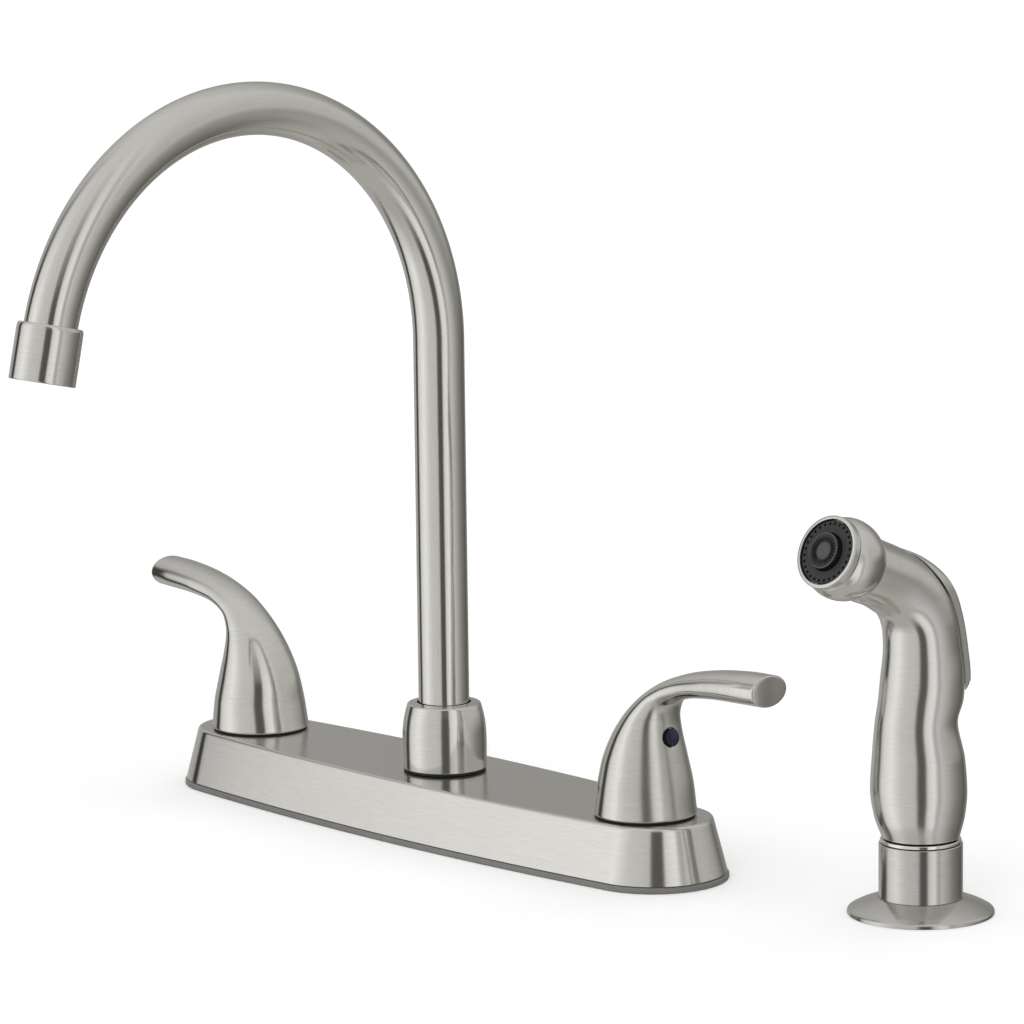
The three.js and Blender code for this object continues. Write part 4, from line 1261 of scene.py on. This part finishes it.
    def build(self) -> None:
        """Makes every piece of the handset."""
        at, on_face = self.at(), self.on_face()
        dress("spray_body", self.body().moved(at), "handset_body", NICKEL_SATIN)
        dress("spray_trigger", self.trigger().moved(at), "trigger", NICKEL_SATIN)
        shell = turned([(10.4, -3.1), (12.0, -3.1), (13.3, -6), (13.65, -9.8), (12.6, -14), (10.7, -17.2),
                        (5.3, -17.2), (5.3, -14), (10.4, -14)], (0.2, 0.3, 3, 4, 4, 0.3, 0.2, 0.2, 0.2),
                       120, 9)
        dress("spray_head", shell.moved(on_face), "head_shell", NICKEL_SATIN)
        bezel = turned([(10.75, -2.8), (12.1, -2.8), (12.1, -0.2), (11.6, 0), (10.9, 0), (10.75, -0.5)],
                       (0.15, 0.2, 0.6, 0.4, 0.2, 0.2), 120, 7)
        dress("spray_bezel", bezel.moved(on_face), "head_bezel", NICKEL_SATIN)
        dress("spray_face_ring", self.ring().moved(on_face), "spray_ring", RUBBER_FACE)
        disc = dress("spray_face_centre", self.centre().moved(on_face), "spray_centre", PLASTIC_DISC)
        # Painted shade: the wall round the raised middle is made near-black.
        refinish_faces(disc, PAINTED_SHADE_BLACK, of_faces(disc, "normal") @ on_face[:3, 2] < 0.3)
        connector = threaded([(5.0, -3), (9.4, -3), (10.2, -2), (10.2, 24.8), (6.8, 24.8), (6.8, 35),
                              (5.0, 35)], 4, 1.2, 0.45, radius=0.3)
        dress("hose_coupling", connector.moved(at), "hose_connector", BRASS)
        refinish(STEEL_WIRE, "trigger_pin", "valve_plunger", "trigger_spring")


# ------------------------------------------------------------------ studio
@dataclass
class Studio:
    """Pale floor, soft lamps, a surround with broad soft boxes and gaps, and the camera."""

    # Brightness of the surround against its bearing from the camera's side, in degrees.
    bands: tuple[tuple[float, float], ...] = (
        (-180, 0.36), (-158, 0.5), (-131, 0.46), (-126, 0.06), (-115, 0.04), (-111, 0.5), (-106, 0.82),
        (-99, 0.92), (-90, 1.0), (-76, 1.12), (-71, 1.06), (-59, 0.9), (-48, 0.77), (-38, 0.73), (-25, 0.71),
        (-10, 0.66), (-6.5, 0.12), (13, 0.1), (16.5, 0.84), (26, 0.97), (34, 1.05), (38, 1.0), (41.5, 0.55),
        (49, 0.5), (52.5, 0.74), (66, 0.6), (77, 0.48), (90, 0.34), (105, 0.24), (137, 0.12), (145, 0.25),
        (180, 0.36))
    # Share by which the right side brightens above the horizon, against the same bearing.
    lift: tuple[tuple[float, float], ...] = ((-180, 0), (58, 0), (76, 1), (120, 1), (150, 0), (180, 0))
    lifted: float = 0.6
    ceiling: float = 0.74
    ground: float = 0.54
    plain: float = 0.8
    # Glow of the floor to the camera near the object and far off, and the distances in metres.
    glow: tuple[float, float] = (0.19, 0.32)
    glow_at: tuple[float, float] = (0.35, 1.6)

    def tinted(self, value: float) -> Colour:
        """Returns a grey of the surround, warmer the darker it is below one half."""
        open_share = min(value / 0.5, 1)
        return value, value * (0.94 + 0.06 * open_share), value * (0.8 + 0.2 * open_share)

    def world(self) -> None:
        """Sets the surround: white to the camera, banded to metal and glass, plain to the rest."""
        world = bpy.data.worlds.new("surround")
        bpy.context.scene.world = world
        world.use_nodes = True
        n = Nodes(world.node_tree)
        direction = n.add("ShaderNodeTexCoord").outputs["Generated"]
        bearing = math.radians(90 - CAMERA_YAW)
        turned_to = n.add("ShaderNodeVectorRotate", {"Vector": direction, "Angle": bearing},
                          rotation_type="Z_AXIS").outputs["Vector"]
        x, y, z = n.add("ShaderNodeSeparateXYZ", {"Vector": turned_to}).outputs
        share = n.scaled(n.calculate("ARCTAN2", y, x), 0, 1, -math.pi, math.pi)
        surround = n.round_ramp(share, [(degrees, self.tinted(value)) for degrees, value in self.bands])
        mask = n.round_ramp(share, [(degrees, (value, value, value)) for degrees, value in self.lift])
        lift = n.calculate("MULTIPLY", mask, n.scaled(z, 0, 1, -0.12, 0.12))
        up, down = n.scaled(z, 0, 1, 0.28, 0.95), n.scaled(z, 0, 1, -0.62, -0.9)
        for fac, level, green, blue in ((lift, self.lifted, 1, 0.97), (up, self.ceiling, 1, 1),
                                        (down, self.ground, 0.98, 0.93)):
            surround = n.blended(fac, surround, (level, level * green, level * blue))
        banded = n.add("ShaderNodeBackground", {"Color": surround, "Strength": 1.0})
        white, even = (n.add("ShaderNodeBackground", {"Color": (1, 1, 1, 1), "Strength": strength})
                       for strength in (1.0, self.plain))
        ray = n.add("ShaderNodeLightPath").outputs
        mirror = n.calculate("MAXIMUM", ray["Is Glossy Ray"], ray["Is Transmission Ray"])
        mix = n.add("ShaderNodeMixShader", {0: mirror, 1: even.outputs[0], 2: banded.outputs[0]})
        last = n.add("ShaderNodeMixShader", {0: ray["Is Camera Ray"], 1: mix.outputs[0], 2: white.outputs[0]})
        n.add("ShaderNodeOutputWorld", {"Surface": last.outputs[0]})

    def floor(self) -> None:
        """A broad pale floor on the deck's level, white to the camera but for the object's shadow."""
        mesh = bpy.data.meshes.new("floor")
        half = 6.0
        corners = [(-half, -half, 0), (half, -half, 0), (half, half, 0), (-half, half, 0)]
        mesh.from_pydata(corners, [], [(0, 1, 2, 3)])
        floor = bpy.data.objects.new("floor", mesh)
        bpy.context.scene.collection.objects.link(floor)
        material = bpy.data.materials.new("pale floor")
        material.use_nodes = True
        n = Nodes(material.node_tree)
        place_on = n.add("ShaderNodeTexCoord").outputs["Object"]
        colour = n.blended(n.noise(place_on, 40, 3), (0.86, 0.86, 0.86), (0.9, 0.9, 0.9))
        shader = n.add("ShaderNodeBsdfDiffuse", {"Color": colour})
        away = n.add("ShaderNodeVectorMath", {0: place_on}, operation="LENGTH").outputs["Value"]
        ray = n.add("ShaderNodeLightPath").outputs
        lift = n.calculate("MULTIPLY", ray["Is Camera Ray"], n.scaled(away, *self.glow, *self.glow_at))
        glow = n.add("ShaderNodeEmission", {"Color": (1, 1, 1, 1), "Strength": lift})
        both = n.add("ShaderNodeAddShader", {0: shader.outputs[0], 1: glow.outputs[0]})
        n.add("ShaderNodeOutputMaterial", {"Surface": both.outputs[0]})
        mesh.materials.append(material)
        floor.visible_glossy = False

    def lamps(self) -> None:
        """Three broad soft lamps that light the matt pieces and give the soft shadow."""
        aim = Vector((0.04, -0.03, 0.08))
        for name, at, size, watts in (
                ("key", (0.9, -1.3, 1.5), 1.1, 8), ("fill", (-1.5, -0.9, 1.0), 1.2, 3),
                ("back", (-0.2, 1.6, 1.4), 1.3, 3)):
            light = bpy.data.lights.new(name, "AREA")
            light.shape = "SQUARE"
            light.size = size
            light.energy = watts
            lamp = bpy.data.objects.new(name, light)
            lamp.location = at
            lamp.rotation_euler = (aim - Vector(at)).to_track_quat("-Z", "Y").to_euler()
            lamp.visible_glossy = False
            lamp.visible_camera = False
            bpy.context.scene.collection.objects.link(lamp)

    def camera(self) -> None:
        """The photograph's camera: placed, turned by yaw, pitch and roll, with its focal length."""
        yaw, pitch, roll = (math.radians(v) for v in (CAMERA_YAW, CAMERA_PITCH, CAMERA_ROLL))
        forward = Vector((-math.sin(yaw) * math.cos(pitch), math.cos(yaw) * math.cos(pitch),
                          -math.sin(pitch)))
        right = Vector((math.cos(yaw), math.sin(yaw), 0))
        down = forward.cross(right)
        right, down = (math.cos(roll) * right + math.sin(roll) * down,
                       -math.sin(roll) * right + math.cos(roll) * down)
        data = bpy.data.cameras.new("camera")
        data.sensor_fit = "HORIZONTAL"
        data.sensor_width = SENSOR_MM
        data.lens = FOCAL_PX / IMAGE_SIZE * SENSOR_MM
        data.clip_end = 50
        camera = bpy.data.objects.new("camera", data)
        turn = Matrix((right, -down, -forward)).transposed().to_4x4()
        camera.matrix_world = Matrix.Translation(Vector(CAMERA_MM) * MM) @ turn
        bpy.context.scene.collection.objects.link(camera)
        bpy.context.scene.camera = camera

    def build(self) -> None:
        """Sets up the whole studio and the plain view."""
        self.camera()
        self.world()
        self.floor()
        self.lamps()
        bpy.context.scene.view_settings.view_transform = "Standard"


def main() -> None:
    """Builds the studio and every sub-assembly in order."""
    logging.basicConfig(level=logging.INFO, format="%(name)s: %(message)s")
    for part in (Studio(), DeckPlate(), LeverHandle(Side.HOT), LeverHandle(Side.COLD), Spout(), UnderDeck(),
                 SprayHolder(), Handset()):
        LOG.info("building %s", type(part).__name__)
        part.build()


if __name__ == "__main__":
    main()
